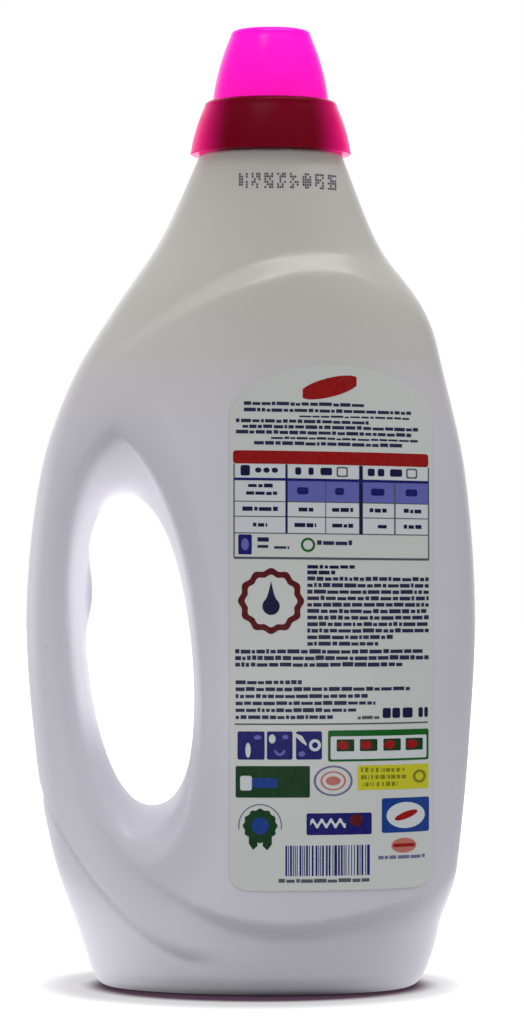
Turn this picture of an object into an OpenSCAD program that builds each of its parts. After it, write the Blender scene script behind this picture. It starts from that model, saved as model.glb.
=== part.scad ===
// Laundry detergent bottle with a moulded-through handle, a pouring collar and a screw-on dosing cup.
// Millimetres. The bottle stands on z = 0, its label side faces -Y and its handle is at -X.
// The body is lofted through ten level sections. Each section is given by how far it reaches
// from the neck axis to the left (handle side), to the right, and to the front and back.

/* [Section heights, each counted from the section below] */
// Height of the rounded edge round the base
edge_h = 3; // [2:0.5:5]
// From the base edge up to the foot section
foot_h = 11; // [8:0.5:14]
// From the foot up to the heel section
heel_h = 20; // [16:0.5:25]
// From the heel up to the waist section
waist_h = 32; // [26:0.5:39]
// From the waist up to the belly, where the bottle is widest
belly_h = 37; // [30:0.5:44]
// From the belly up to the grip section
grip_h = 37; // [30:0.5:44]
// From the grip up to the shoulder section
shoulder_h = 26; // [21:0.5:31]
// From the shoulder up to the section at the panel's arch
arch_h = 20; // [16:0.5:24]
// From the arch up to the middle of the neck cone
cone_h = 18; // [14:0.5:22]
// From the middle of the cone up to the neck's shoulder
throat_h = 22; // [17:0.5:27]

/* [Reach to the left of the neck axis] */
// Base
base_left = 48.6; // [40:0.1:57]
// Foot
foot_left = 52.2; // [43:0.1:61]
// Heel
heel_left = 58.8; // [48:0.1:69]
// Waist
waist_left = 63.6; // [52:0.1:75]
// Belly
belly_left = 65.9; // [54:0.1:78]
// Grip
grip_left = 62; // [52:0.1:73]
// Shoulder
shoulder_left = 53.6; // [44:0.1:63]
// Arch
arch_left = 42; // [34:0.1:50]
// Cone
cone_left = 30.1; // [25:0.1:36]

/* [Reach to the right of the neck axis] */
// Base
base_right = 42; // [34:0.1:50]
// Foot
foot_right = 45.6; // [37:0.1:54]
// Heel
heel_right = 48.4; // [39:0.1:57]
// Waist
waist_right = 51.4; // [42:0.1:61]
// Belly
belly_right = 53.1; // [43:0.1:63]
// Grip
grip_right = 50.4; // [41:0.1:60]
// Shoulder
shoulder_right = 44.8; // [37:0.1:53]
// Arch
arch_right = 39.2; // [32:0.1:46]
// Cone
cone_right = 28.7; // [24:0.1:34]

/* [Half depth, front to back] */
// Base
base_depth = 26.6; // [22:0.1:31]
// Foot
foot_depth = 28.2; // [23:0.1:33]
// Heel
heel_depth = 29; // [24:0.1:34]
// Waist
waist_depth = 30.4; // [25:0.1:36]
// Belly
belly_depth = 30.8; // [25:0.1:36]
// Grip
grip_depth = 29.8; // [25:0.1:35]
// Shoulder
shoulder_depth = 27.8; // [23:0.1:33]
// Arch
arch_depth = 25.9; // [21:0.1:31]
// Cone
cone_depth = 23; // [19:0.1:27]

/* [Section form] */
// Radius of the round shoulder that the neck stands on
neck_shoulder_r = 19.8; // [18.8:0.1:23]
// Roundness of the right side: 2 is an ellipse and more is squarer
side_roundness = 2.2; // [2:0.05:2.8]
// Roundness of the handle's edge, by the same measure
handle_roundness = 2.4; // [2:0.05:2.8]
// Share by which the handle side is thinned towards its edge
handle_thinning = 0.45; // [0.2:0.01:0.5]
// The same share at the foot
foot_thinning = 0.22; // [0:0.01:0.4]

/* [Label panel and handle band] */
// How proud the label panel stands of the cone and the foot
panel_relief = 2.8; // [2:0.1:3.4]
// How proud the handle's band stands of the foot
band_relief = 1; // [0.4:0.1:1.6]
// Top of the panel's arch below the top of the body
arch_drop = 27; // [24:0.5:32]
// How far the arch falls away on the handle side
arch_fall = 37; // [30:0.5:44]
// Height of the arch's bevel
arch_bevel_h = 5.4; // [3:0.1:7]
// Height of the panel's lower edge at its lowest
panel_foot_z = 19.8; // [18:0.1:23]
// Height of the panel's lower bevel
foot_bevel_h = 4.4; // [2:0.1:5.5]
// Height at which the handle band's lower crease starts
crease_z = 9.2; // [7:0.1:11]
// Height of the step at that crease
crease_h = 2.4; // [1.5:0.1:3.5]

/* [Handle hole] */
// Half width of the hole at its throat
hole_half_w = 14.4; // [12:0.1:16]
// Half height of the hole at its throat
hole_half_h = 42.6; // [35:0.1:46]
// Centre of the hole, to the left of the neck axis
hole_left = 36; // [34:0.1:38]
// Centre of the hole above the ground
hole_z = 91.6; // [86:0.2:98]
// Roundness of the hole: 2 is an ellipse and more is squarer
hole_roundness = 2.25; // [2:0.05:2.6]
// Lean of the hole, its top towards the handle
hole_lean = 5.8; // [0:0.1:9]
// Widening of the hole at its top
flare_top = 17.1; // [12:0.1:20]
// Widening of the hole at its bottom
flare_bottom = 13.7; // [10:0.1:17]
// Widening of the hole at the handle
flare_handle = 20; // [14:0.1:24]
// Widening of the hole at the label side
flare_panel = 2.4; // [1:0.1:4]

/* [Shell and base] */
// Wall of the blown body
wall = 1; // [0.7:0.05:1.3]
// Height of the hollow under the base
push_up = 2.6; // [1.5:0.1:4]

/* [Neck finish] */
// Outer radius of the neck finish
neck_r = 17.6; // [17.1:0.05:18.2]
// Wall of the neck finish
neck_wall = 1.4; // [1:0.05:1.5]
// Height of the neck finish
neck_h = 10; // [8.5:0.1:11]
// How proud the snap bead stands
bead = 0.5; // [0.3:0.05:0.7]
// Height of the snap bead's middle above the shoulder
bead_z = 4.5; // [3.5:0.1:5.5]
// Height of the snap bead
bead_h = 1.8; // [1.2:0.1:2.4]

/* [Pouring collar] */
// Outer radius of the collar at its lower rim
collar_foot_r = 22.3; // [21.2:0.1:25]
// Outer radius of the collar half way up
collar_mid_r = 20.1; // [19.6:0.1:21]
// Outer radius of the collar under its rounded top
collar_top_r = 18.2; // [17.9:0.05:18.8]
// Height of the collar
collar_h = 15.8; // [14:0.1:17]
// Radius of the collar's rounded top edge
collar_edge_r = 1.6; // [1:0.1:1.9]
// Wall of the threaded sleeve that takes the cap
sleeve_wall = 1.2; // [0.9:0.05:1.4]
// How far the sleeve reaches into the neck, from the collar's lower rim
sleeve_depth = 1; // [0:0.1:2]
// Drop of the drain-back floor from the sleeve to the spout
tray_drop = 2.5; // [1:0.1:4]
// Thickness of the drain-back floor
tray_t = 1.2; // [0.9:0.05:1.6]

/* [Spout] */
// Outer radius of the pouring spout
spout_r = 9.4; // [8:0.1:10.4]
// Wall of the spout
spout_wall = 1.1; // [0.8:0.05:1.4]
// Height of the spout's lip above the collar's lower rim
spout_h = 25; // [21:0.5:26]
// Height of the spout's low side above the collar's lower rim
spout_back_h = 11; // [9:0.5:13]
// Width of the drain slot in the spout
drain_w = 5; // [3:0.1:6]

/* [Dosing cap] */
// Outer radius of the cap at its lower edge
cap_foot_r = 15.9; // [15.7:0.05:16.4]
// Outer radius of the cap at its top edge
cap_top_r = 11; // [9.8:0.1:13]
// Height of the cap above its lower edge
cap_h = 20.8; // [18.5:0.1:24]
// Radius of the cap's top edge
cap_edge_r = 1.6; // [1:0.1:2.5]
// Rise of the cap's crowned top
cap_crown = 0.7; // [0.3:0.1:1.2]
// Bulge of the cap's side against a straight cone
cap_bulge = 0.8; // [0:0.1:1.5]
// Wall of the cap
cap_wall = 1.2; // [0.9:0.05:1.5]
// Length of the threaded skirt under the cap's edge
skirt_h = 10.2; // [8:0.1:11]

/* [Seal ring] */
// Thickness of the seal ring
seal_t = 0.8; // [0.5:0.05:1.2]

/* [Label] */
// Left edge of the label, from the neck axis
label_left = -11; // [-13:0.1:-9]
// Right edge of the label, from the neck axis
label_right = 43.3; // [36:0.1:45]
// Lower edge of the label above the ground
label_bottom = 29; // [27:0.5:34]
// Top of the label's arch below the top of the panel's arch
label_drop = 30.2; // [25:0.1:36]
// Rise of the arch above the label's upper corners
label_rise = 14; // [10:0.5:18]
// Radius of the lower corners
label_corner = 5; // [3:0.5:7]
// Thickness of the film
label_t = 0.2; // [0.1:0.05:0.4]

/* [Fits] */
// Clearance of the snap and plug fits of the collar on the neck
snap_gap = 0.1; // [0.05:0.05:0.2]
// Running clearance between the cap's skirt and the sleeve, threads apart
thread_gap = 0.3; // [0.2:0.05:0.4]
// Gap between the label and the wall behind it
film_gap = 0.1; // [0.05:0.01:0.15]

/* [Hidden] */

// Facets round the body, round its cavity, and round turned parts
body_columns = 60;
cavity_columns = 40;
$fn = 72;
eps = 0.01;

// The neck axis stands to the right of the middle between the belly's two sides
axis_x = (belly_left - belly_right - panel_relief + band_relief) / 2;

// Section heights above the ground
section_z = [
    edge_h,
    edge_h + foot_h,
    edge_h + foot_h + heel_h,
    edge_h + foot_h + heel_h + waist_h,
    edge_h + foot_h + heel_h + waist_h + belly_h,
    edge_h + foot_h + heel_h + waist_h + belly_h + grip_h,
    edge_h + foot_h + heel_h + waist_h + belly_h + grip_h + shoulder_h,
    edge_h + foot_h + heel_h + waist_h + belly_h + grip_h + shoulder_h + arch_h,
    edge_h + foot_h + heel_h + waist_h + belly_h + grip_h + shoulder_h + arch_h + cone_h,
    edge_h + foot_h + heel_h + waist_h + belly_h + grip_h + shoulder_h + arch_h + cone_h + throat_h
];
sections = len(section_z);
body_top = section_z[sections - 1];
waist_z = section_z[3];
grip_z = section_z[5];
arch_z = body_top - arch_drop;

left_reach = [base_left, foot_left, heel_left, waist_left, belly_left, grip_left, shoulder_left,
              arch_left, cone_left, neck_shoulder_r];
right_reach = [base_right, foot_right, heel_right, waist_right, belly_right, grip_right,
               shoulder_right, arch_right, cone_right, neck_shoulder_r];
half_depth = [base_depth, foot_depth, heel_depth, waist_depth, belly_depth, grip_depth,
              shoulder_depth, arch_depth, cone_depth, neck_shoulder_r];

// Neck, collar and cap, stacked on the body's shoulder
bore_r = neck_r - neck_wall;
neck_top = body_top + neck_h;
sleeve_r = bore_r - snap_gap;
sleeve_inner_r = sleeve_r - sleeve_wall;
skirt_r = sleeve_inner_r - thread_gap;
skirt_inner_r = skirt_r - cap_wall;
deck_z = neck_top + snap_gap;
collar_top = body_top + collar_h;
seat_z = collar_top - collar_edge_r * 0.9;
cap_z = seat_z + seal_t;
cap_top = cap_z + cap_h;

// A smooth step from 0 to 1
function smooth_step(t) = let (c = min(1, max(0, t))) c * c * (3 - 2 * c);
// A straight step from 0 to 1
function step_up(t) = min(1, max(0, t));

// Smooth curve through one list of section values, at height z
function section_below(z, i = 0) =
    i >= sections - 2 || z < section_z[i + 1] ? i : section_below(z, i + 1);
function slope_at(values, i) =
    let (a = max(0, i - 1), b = min(sections - 1, i + 1))
    (values[b] - values[a]) / (section_z[b] - section_z[a]);
function lofted(values, z) =
    let (
        zc = min(body_top, max(edge_h, z)),
        i = section_below(zc),
        h = section_z[i + 1] - section_z[i],
        t = (zc - section_z[i]) / h
    )
    (1 + 2 * t) * pow(1 - t, 2) * values[i] + t * pow(1 - t, 2) * h * slope_at(values, i)
    + t * t * (3 - 2 * t) * values[i + 1] + t * t * (t - 1) * h * slope_at(values, i + 1);

// One level section. Angle 0 is the far right, 180 the handle's outer edge and 270 the label side.
function cone_share(z) = 1 - smooth_step((z - grip_z) / (body_top - grip_z));
function roundness(s, z) = 2 + ((s < 0 ? handle_roundness : side_roundness) - 2) * cone_share(z);
function thinning(z) =
    (foot_thinning + (handle_thinning - foot_thinning) * smooth_step(z / waist_z)) * cone_share(z);
function half_section(s, z) =
    let (n = roundness(s, z))
    lofted(half_depth, z) * pow(max(0, 1 - pow(abs(s), n)), 1 / n)
    * (s < 0 ? 1 - thinning(z) * s * s : 1);
function reach_at(s, z) = lofted(s < 0 ? left_reach : right_reach, z);
function section_point(a, z) =
    [axis_x + cos(a) * reach_at(cos(a), z), (a % 360 > 180 ? -1 : 1) * half_section(cos(a), z)];
function outward(a, z) =
    let (d = section_point(a + 1, z) - section_point(a - 1 + 360, z))
    [d[1], -d[0]] / norm(d);

// The lines that frame the label panel and the handle band. Their place across the bottle is s,
// which runs from -1 at the handle's outer edge over 0 at the neck axis to 1 at the far right.

// The arch falls from its peak along part of an ellipse on the left, and slightly on the right.
// Its bevel narrows towards the handle and widens at the right corner.
arch_peak_s = 0.4;
arch_span_left = 1.4;
arch_fall_s = 1.25;
arch_side_drop = 1.5;
arch_corner_s = 0.55;
arch_bevel_narrowing = 0.3;
arch_bevel_widening = 1.6;
function arch_high(s) =
    s < arch_peak_s
        ? arch_z - arch_fall * (1 - sqrt(1 - pow((arch_peak_s - s) / arch_span_left, 2)))
              * pow(arch_span_left / arch_fall_s, 2)
        : arch_z - arch_side_drop * pow((s - arch_peak_s) / (1 - arch_peak_s), 2);
function arch_bevel(s) =
    arch_bevel_h * (1 + arch_bevel_narrowing * min(0, s)
                    + arch_bevel_widening * pow(max(0, (s - arch_corner_s) / (1 - arch_corner_s)), 2));
function arch_low(s) = arch_high(s) - arch_bevel(s);

// The panel's foot rises from its lowest stretch to both sides, more steeply to the left, where
// its bevel also narrows
foot_rise_left = 30;
foot_rise_right = 11;
foot_left_s = 0.2;
foot_right_s = 0.1;
foot_bevel_share = 0.35;
foot_bevel_left_s = -0.6;
foot_bevel_full_s = 0.05;
function foot_high(s) =
    panel_foot_z + foot_rise_left * pow(max(0, foot_left_s - s), 3)
    + foot_rise_right * pow(max(0, s - foot_right_s), 1.7);
function foot_low(s) =
    let (grown = smooth_step((s - foot_bevel_left_s) / (foot_bevel_full_s - foot_bevel_left_s)))
    foot_high(s) - foot_bevel_h * (foot_bevel_share + (1 - foot_bevel_share) * grown);

// The crease rises to the left, ever more steeply
crease_rise = 107;
crease_end_s = -0.31;
function crease_low(s) = crease_z + crease_rise * pow(max(0, crease_end_s - s), 2.55);
function crease_high(s) = crease_low(s) + crease_h;

// How far the wall stands proud of the plain section. The panel fades out towards the handle,
// and the band fades out towards the neck axis and above the grip.
panel_fade_s = [-0.85, -0.45];
band_fade_s = [-0.45, -0.2];
function faded(s, edges) = smooth_step((s - edges[0]) / (edges[1] - edges[0]));
function panel_share(s, z) =
    step_up((z - foot_low(s)) / (foot_high(s) - foot_low(s)))
    * (1 - step_up((z - arch_low(s)) / (arch_high(s) - arch_low(s))))
    * faded(s, panel_fade_s);
function band_share(s, z) =
    step_up((z - crease_low(s)) / crease_h)
    * (1 - smooth_step((z - grip_z) / (arch_z - grip_z)))
    * (1 - faded(s, band_fade_s));
function relief(s, z) = max(panel_relief * panel_share(s, z), band_relief * band_share(s, z));

// A point of the body's skin, moved out by the relief and an extra offset
function skin_point(a, z, offset = 0) =
    let (
        tuck = z < edge_h ? edge_h - sqrt(edge_h * edge_h - pow(edge_h - z, 2)) : 0,
        p = section_point(a, z) + outward(a, z) * (relief(cos(a), z) + offset - tuck)
    )
    [p[0], p[1], z];

// Rows of the skin: they follow the framing lines, so that the bevels stay crisp
ground_row = 0.02;
function rows_between(low, high, count) = [for (i = [0:count - 1]) low + (high - low) * i / count];
function row_heights(s, fine) =
    concat(
        [ground_row, edge_h * 0.3, edge_h],
        rows_between(edge_h * 1.5, crease_low(s), 2),
        rows_between(crease_low(s), crease_high(s), 1),
        rows_between(crease_high(s), foot_low(s), 2),
        rows_between(foot_low(s), foot_high(s), 1),
        rows_between(foot_high(s), arch_low(s), fine ? 22 : 14),
        rows_between(arch_low(s), arch_high(s), fine ? 3 : 2),
        rows_between(arch_high(s), body_top, fine ? 7 : 5)
    );

// The whole body as one closed form: hollowed base, skin and a flat top
base_shares = [[0.45, 1], [0.72, 0.85], [0.82, 0]];
module skin(columns, fine, inset = 0) {
    angles = [for (i = [0:columns - 1]) 360 * i / columns];
    heights = [for (a = angles) row_heights(cos(a), fine)];
    low_z = inset > 0 ? inset : 0;
    base_ring = [for (a = angles) skin_point(a, ground_row, -inset)];
    rings = concat(
        [for (share = base_shares) [for (p = base_ring)
            [axis_x + (p[0] - axis_x) * share[0], p[1] * share[0], push_up * share[1] + low_z]]],
        [for (r = [0:len(heights[0]) - 1]) [for (i = [0:columns - 1])
            let (p = skin_point(angles[i], heights[i][r], -inset))
            [p[0], p[1], r == 0 ? low_z : max(p[2], low_z + r * eps)]]],
        [[for (a = angles) let (p = skin_point(a, body_top, -inset)) [p[0], p[1], body_top - low_z]]]
    );
    count = len(rings);
    points = concat([for (ring = rings) each ring],
                    [[axis_x, 0, push_up + low_z], [axis_x, 0, body_top - low_z]]);
    sides = [for (r = [0:count - 2]) for (i = [0:columns - 1])
        let (j = (i + 1) % columns, a = r * columns + i, b = r * columns + j,
             c = (r + 1) * columns + j, d = (r + 1) * columns + i)
        each [[a, c, b], [a, d, c]]];
    floor_fan = [for (i = [0:columns - 1]) [i, (i + 1) % columns, count * columns]];
    top_fan = [for (i = [0:columns - 1])
        [(count - 1) * columns + (i + 1) % columns, (count - 1) * columns + i, count * columns + 1]];
    polyhedron(points, concat(sides, floor_fan, top_fan), convexity = 8);
}

// The hole behind the handle: an oval throat that flares towards both faces
function flare(y, widen, deep) = widen * (1 - sqrt(max(0, 1 - pow(y / deep, 2))));
flare_handle_deep = 26;
flare_panel_deep = 34;
flare_bottom_deep = 25;
hole_past = 40;
slice_depths = [-hole_past, -25, -21, -18, -15, -11, -6, 0, 6, 11, 15, 18, 21, 25, hole_past];
function hole_ring(y, grow, facets) =
    let (
        deep = abs(y),
        handle_deep = min(deep, 0.9 * flare_handle_deep),
        left = hole_half_w + flare(handle_deep, flare_handle, flare_handle_deep) + grow,
        right = hole_half_w + flare(deep, flare_panel, flare_panel_deep) + grow,
        top = hole_half_h + flare(deep, flare_top, flare_top) + grow,
        bottom = hole_half_h + flare(deep, flare_bottom, flare_bottom_deep) + grow
    )
    [for (i = [0:facets - 1]) let (a = 360 * i / facets, power = 2 / hole_roundness)
        [sign(cos(a)) * pow(abs(cos(a)), power) * (right + left) / 2 + (right - left) / 2, y,
         sign(sin(a)) * pow(abs(sin(a)), power) * (top + bottom) / 2 + (top - bottom) / 2]];
module hole_segment(y1, y2, grow, facets) {
    first = [for (i = [0:facets - 1]) i];
    second = [for (i = [0:facets - 1]) 2 * facets - 1 - i];
    sides = [for (i = [0:facets - 1]) let (j = (i + 1) % facets) [j, i, i + facets, j + facets]];
    hull()
        polyhedron(concat(hole_ring(y1, grow, facets), hole_ring(y2, grow, facets)),
                   concat([first, second], sides));
}
module handle_hole(grow = 0, facets = 40) {
    translate([axis_x - hole_left, 0, hole_z])
        rotate([0, -hole_lean, 0])
            for (i = [0:len(slice_depths) - 2])
                hole_segment(slice_depths[i], slice_depths[i + 1], grow, facets);
}

// Turned neck finish with the bead that holds the collar, before it is bored
neck_edge = 0.5;
module neck_finish() {
    translate([axis_x, 0, body_top])
        rotate_extrude()
            polygon([
                [0, -wall], [neck_r, -wall], [neck_r, bead_z - bead_h / 2],
                [neck_r + bead, bead_z - bead_h / 4], [neck_r + bead, bead_z + bead_h / 4],
                [neck_r, bead_z + bead_h / 2], [neck_r, neck_h - neck_edge], [neck_r - neck_edge, neck_h],
                [0, neck_h]
            ]);
}

module bottle_body() {
    color("gainsboro") {
        difference() {
            union() {
                difference() {
                    skin(body_columns, true);
                    handle_hole();
                }
                neck_finish();
            }
            difference() {
                skin(cavity_columns, false, wall);
                handle_hole(wall, 32);
            }
            translate([axis_x, 0, body_top - 2 * wall]) cylinder(h = neck_h + 3 * wall, r = bore_r);
        }
    }
}

// Thin printed film on the front of the panel, with an arched top and rounded lower corners
label_columns = 14;
label_rows = 28;
label_top = arch_z - label_drop;
label_mid = (label_left + label_right) / 2;
label_half = (label_right - label_left) / 2;
function label_high(x) =
    label_top - label_rise * (1 - sqrt(max(0, 1 - pow((x - label_mid) / label_half, 2))));
function label_low(x) =
    let (past = max(0, abs(x - label_mid) - label_half + label_corner))
    label_bottom + label_corner - sqrt(max(0, pow(label_corner, 2) - past * past));
function label_point(i, j, offset) =
    let (
        x = label_mid - label_half * cos(180 * i / label_columns),
        z = label_low(x) + (label_high(x) - label_low(x)) * j / label_rows,
        s = x / (reach_at(x, z) + panel_relief)
    )
    skin_point(360 - acos(s), z, offset);
module back_label() {
    side = (label_columns + 1) * (label_rows + 1);
    inner = [for (j = [0:label_rows], i = [0:label_columns]) label_point(i, j, film_gap)];
    outer = [for (j = [0:label_rows], i = [0:label_columns]) label_point(i, j, film_gap + label_t)];
    row = label_columns + 1;
    faces = [for (j = [0:label_rows - 1], i = [0:label_columns - 1])
        let (a = j * row + i, b = a + 1, c = a + row + 1, d = a + row)
        each [[side + a, side + c, side + b], [side + a, side + d, side + c], [a, b, c], [a, c, d]]];
    bottom = [for (i = [0:label_columns - 1]) each [[i, side + i + 1, i + 1], [i, side + i, side + i + 1]]];
    top = [for (i = [0:label_columns - 1]) let (a = label_rows * row + i)
        each [[a, a + 1, side + a + 1], [a, side + a + 1, side + a]]];
    left = [for (j = [0:label_rows - 1]) let (a = j * row, b = a + row)
        each [[a, b, side + b], [a, side + b, side + a]]];
    right = [for (j = [0:label_rows - 1]) let (a = j * row + label_columns, b = a + row)
        each [[a, side + b, b], [a, side + a, side + b]]];
    color("lightgray")
        polyhedron(concat(inner, outer), concat(faces, bottom, top, left, right), convexity = 4);
}

// Pouring collar: outer skirt, threaded sleeve, drain-back floor and an open-backed spout
rim_h = 0.8;
seat_gap = 0.35;
seat_wall_h = 0.4;
module collar_ring() {
    skirt_bore = neck_r + 2 * snap_gap;
    sleeve_low = body_top + sleeve_depth;
    collar_pull_r = 2 * collar_mid_r - (collar_foot_r + collar_top_r) / 2;
    rotate_extrude()
        polygon([
            [skirt_bore, body_top], [collar_foot_r, body_top], [collar_foot_r, body_top + rim_h],
            for (i = [1:7]) let (t = i / 8, z = rim_h + t * (collar_h - collar_edge_r - rim_h))
                [pow(1 - t, 2) * collar_foot_r + 2 * t * (1 - t) * collar_pull_r + t * t * collar_top_r,
                 body_top + z],
            for (i = [0:4]) let (a = 90 * i / 4)
                [collar_top_r - collar_edge_r * (1 - cos(a)), collar_top - collar_edge_r * (1 - sin(a))],
            [cap_foot_r + seat_gap, seat_z + seat_wall_h], [cap_foot_r + seat_gap, seat_z],
            [sleeve_inner_r, seat_z],
            [sleeve_inner_r, sleeve_low], [spout_r - spout_wall / 2, sleeve_low - tray_drop],
            [spout_r - spout_wall / 2, sleeve_low - tray_drop - tray_t],
            [sleeve_r, sleeve_low - tray_t], [sleeve_r, deck_z], [skirt_bore, deck_z],
            [skirt_bore, body_top + bead_z + bead_h / 2 + snap_gap],
            [skirt_bore + bead, body_top + bead_z + bead_h / 4 + snap_gap],
            [skirt_bore + bead, body_top + bead_z - bead_h / 4 - snap_gap],
            [skirt_bore, body_top + bead_z - bead_h / 2 - snap_gap]
        ]);
}
module spout() {
    low = body_top + sleeve_depth - tray_drop - tray_t;
    lip = body_top + spout_h;
    back = body_top + spout_back_h;
    tilt = atan((lip - back) / (2 * spout_r));
    difference() {
        translate([0, 0, low]) cylinder(h = lip - low, r = spout_r);
        translate([0, 0, low - eps]) cylinder(h = lip - low + 2 * eps, r = spout_r - spout_wall);
        translate([-spout_r, 0, back]) rotate([0, -tilt, 0])
            translate([-spout_h, -2 * spout_r, 0]) cube([4 * spout_h, 4 * spout_r, 2 * spout_h]);
        translate([-2 * spout_r, -drain_w / 2, body_top + sleeve_depth - tray_drop / 2])
            cube([2 * spout_r, drain_w, 2 * spout_h]);
    }
}
module spout_collar() {
    color("crimson")
        translate([axis_x, 0, 0])
            union() {
                collar_ring();
                spout();
            }
}

// Soft sealing ring that lies under the cap's edge
module seal_ring() {
    color("whitesmoke")
        translate([axis_x, 0, seat_z])
            difference() {
                cylinder(h = seal_t, r = cap_foot_r);
                translate([0, 0, -eps]) cylinder(h = seal_t + 2 * eps, r = skirt_r);
            }
}

// Dosing cap: a drinking-glass shape upside down, with a threaded skirt that turns in the sleeve
function cap_side(t) =
    cap_foot_r + (cap_top_r - cap_foot_r) * t + cap_bulge * 4 * t * (1 - t);
module dosing_cap() {
    side_h = cap_h - cap_edge_r - cap_crown;
    inner_top = cap_top - cap_crown - cap_wall;
    edge_x = cap_side(1) - cap_edge_r;
    color("deeppink")
        translate([axis_x, 0, 0])
            rotate_extrude()
                polygon([
                    [skirt_inner_r, cap_z - skirt_h], [skirt_r, cap_z - skirt_h], [skirt_r, cap_z],
                    for (i = [0:8]) let (t = i / 8) [cap_side(t), cap_z + side_h * t],
                    for (i = [1:4]) let (a = 90 * i / 4)
                        [edge_x + cap_edge_r * cos(a), cap_z + side_h + cap_edge_r * sin(a)],
                    for (i = [1:4]) let (t = i / 4)
                        [edge_x * (1 - t), cap_top - cap_crown * pow(1 - t, 2)],
                    [0, inner_top],
                    [cap_side(1) - cap_wall - 1, inner_top],
                    for (i = [0:6]) let (t = 1 - i / 8)
                        [min(skirt_inner_r, cap_side(t) - cap_wall), cap_z + (inner_top - 1 - cap_z) * t]
                ]);
}

bottle_body();
back_label();
spout_collar();
seal_ring();
dosing_cap();
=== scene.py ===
import math
import random

import bmesh
import bpy
import numpy as np
from bpy.props import FloatProperty, FloatVectorProperty, IntProperty, PointerProperty
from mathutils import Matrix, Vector


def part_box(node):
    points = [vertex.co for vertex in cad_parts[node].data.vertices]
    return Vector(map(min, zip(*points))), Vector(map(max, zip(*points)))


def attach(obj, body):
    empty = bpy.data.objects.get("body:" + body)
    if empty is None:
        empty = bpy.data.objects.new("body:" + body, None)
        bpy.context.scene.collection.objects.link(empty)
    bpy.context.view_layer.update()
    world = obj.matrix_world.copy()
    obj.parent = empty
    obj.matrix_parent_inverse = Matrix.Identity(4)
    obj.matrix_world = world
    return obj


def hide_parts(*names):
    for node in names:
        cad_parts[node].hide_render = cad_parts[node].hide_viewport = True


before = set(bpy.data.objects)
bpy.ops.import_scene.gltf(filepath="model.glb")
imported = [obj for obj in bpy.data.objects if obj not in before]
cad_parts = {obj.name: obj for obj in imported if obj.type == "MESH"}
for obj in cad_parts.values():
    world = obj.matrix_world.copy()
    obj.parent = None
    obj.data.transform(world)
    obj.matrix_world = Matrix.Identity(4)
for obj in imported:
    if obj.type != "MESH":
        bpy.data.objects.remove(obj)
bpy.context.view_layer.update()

bl_info = {
    "name": "Laundry Detergent Bottle",
    "version": (1, 0, 0),
    "blender": (4, 5, 0),
    "location": "View3D > Sidebar > Bottle",
    "description": "Dresses the packed bottle: blown body, printed film, pouring collar and dosing cap",
    "category": "Object",
}

MM = 0.001

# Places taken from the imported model, in millimetres
CAP_LOW, CAP_HIGH = (np.array(corner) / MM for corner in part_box("dosing_cap"))
BODY_LOW, BODY_HIGH = (np.array(corner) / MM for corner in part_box("bottle_body"))
# Height of the ledge that the seal ring lies on
CAP_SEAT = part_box("seal_ring")[0][2] / MM
NECK_X = (CAP_LOW[0] + CAP_HIGH[0]) / 2
NECK_AXIS = (NECK_X, 0.0)
NECK_HEIGHT = 10.0
BODY_TOP = BODY_HIGH[2] - NECK_HEIGHT
# The collar's visible edge, and the cone under it, end this much higher
COLLAR_LIFT = 1.3

# Level sections of the body: height above the ground, reach from the neck axis to the handle side
# and to the right, and half depth, all in millimetres
SECTIONS = np.array([
    (3.0, 48.6, 42.0, 26.6),    # base
    (14.0, 52.2, 45.6, 28.2),   # foot
    (34.0, 58.8, 48.4, 29.0),   # heel
    (66.0, 63.6, 51.4, 30.4),   # waist
    (103.0, 65.9, 53.1, 30.8),  # belly
    (140.0, 62.0, 50.4, 29.8),  # grip
    (166.0, 53.6, 44.8, 27.8),  # shoulder
    (186.0, 42.0, 39.2, 25.9),  # arch
    (204.0, 30.1, 28.7, 23.0),  # cone
    (226.0, 19.8, 19.8, 19.8),  # neck
])
HEIGHT, LEFT_REACH, RIGHT_REACH, HALF_DEPTH = SECTIONS.T
WAIST_Z, GRIP_Z, ARCH_Z = 66.0, 140.0, 199.0
SIDE_ROUNDNESS, HANDLE_ROUNDNESS = 2.2, 2.4
FOOT_THINNING, HANDLE_THINNING = 0.22, 0.45

# Edges of the label panel and of the handle's band, with the height of the bevel along each one
ARCH_PEAK, ARCH_SPAN, ARCH_LEFT_FALL, ARCH_RIGHT_FALL, ARCH_BEVEL = 0.4, 1.4, 46.4, 1.5, 5.4
FOOT_LOWEST, FOOT_BEVEL = 19.8, 4.4
BAND_LOWEST, BAND_BEVEL = 9.2, 3.4
# Half the width of the groove under the band, and of the painted shade along it
CREASE_WIDTH, CREASE_SHADE_WIDTH = 1.8, 1.1
# Share of a bevel's form that is an even curve, where the rest is a straight slope
EASED_SHARE = 0.85

# The hole behind the handle, in millimetres
HOLE_X, HOLE_Z, HOLE_LEAN = NECK_X - 36.0, 91.6, math.radians(5.8)
HOLE_HALF_WIDTH, HOLE_HALF_HEIGHT, HOLE_ROUNDNESS = 14.4, 42.6, 2.25
# On each side of the hole: the flare's widening, the depth of its curve, and where it levels off
FLARE_LEFT, FLARE_RIGHT = (20.0, 26.0, 23.4), (2.4, 34.0, 33.0)
FLARE_TOP, FLARE_BOTTOM = (17.1, 17.1, 17.0), (13.7, 25.0, 24.8)
# The short ridge that the mould leaves on the handle's inner wall
FLASH_X, FLASH_Z, FLASH_RADIUS, FLASH_STRETCH = -46.6, 110.0, 2.8, 0.36


# Property groups: the sizes and colours that a user would change

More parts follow.
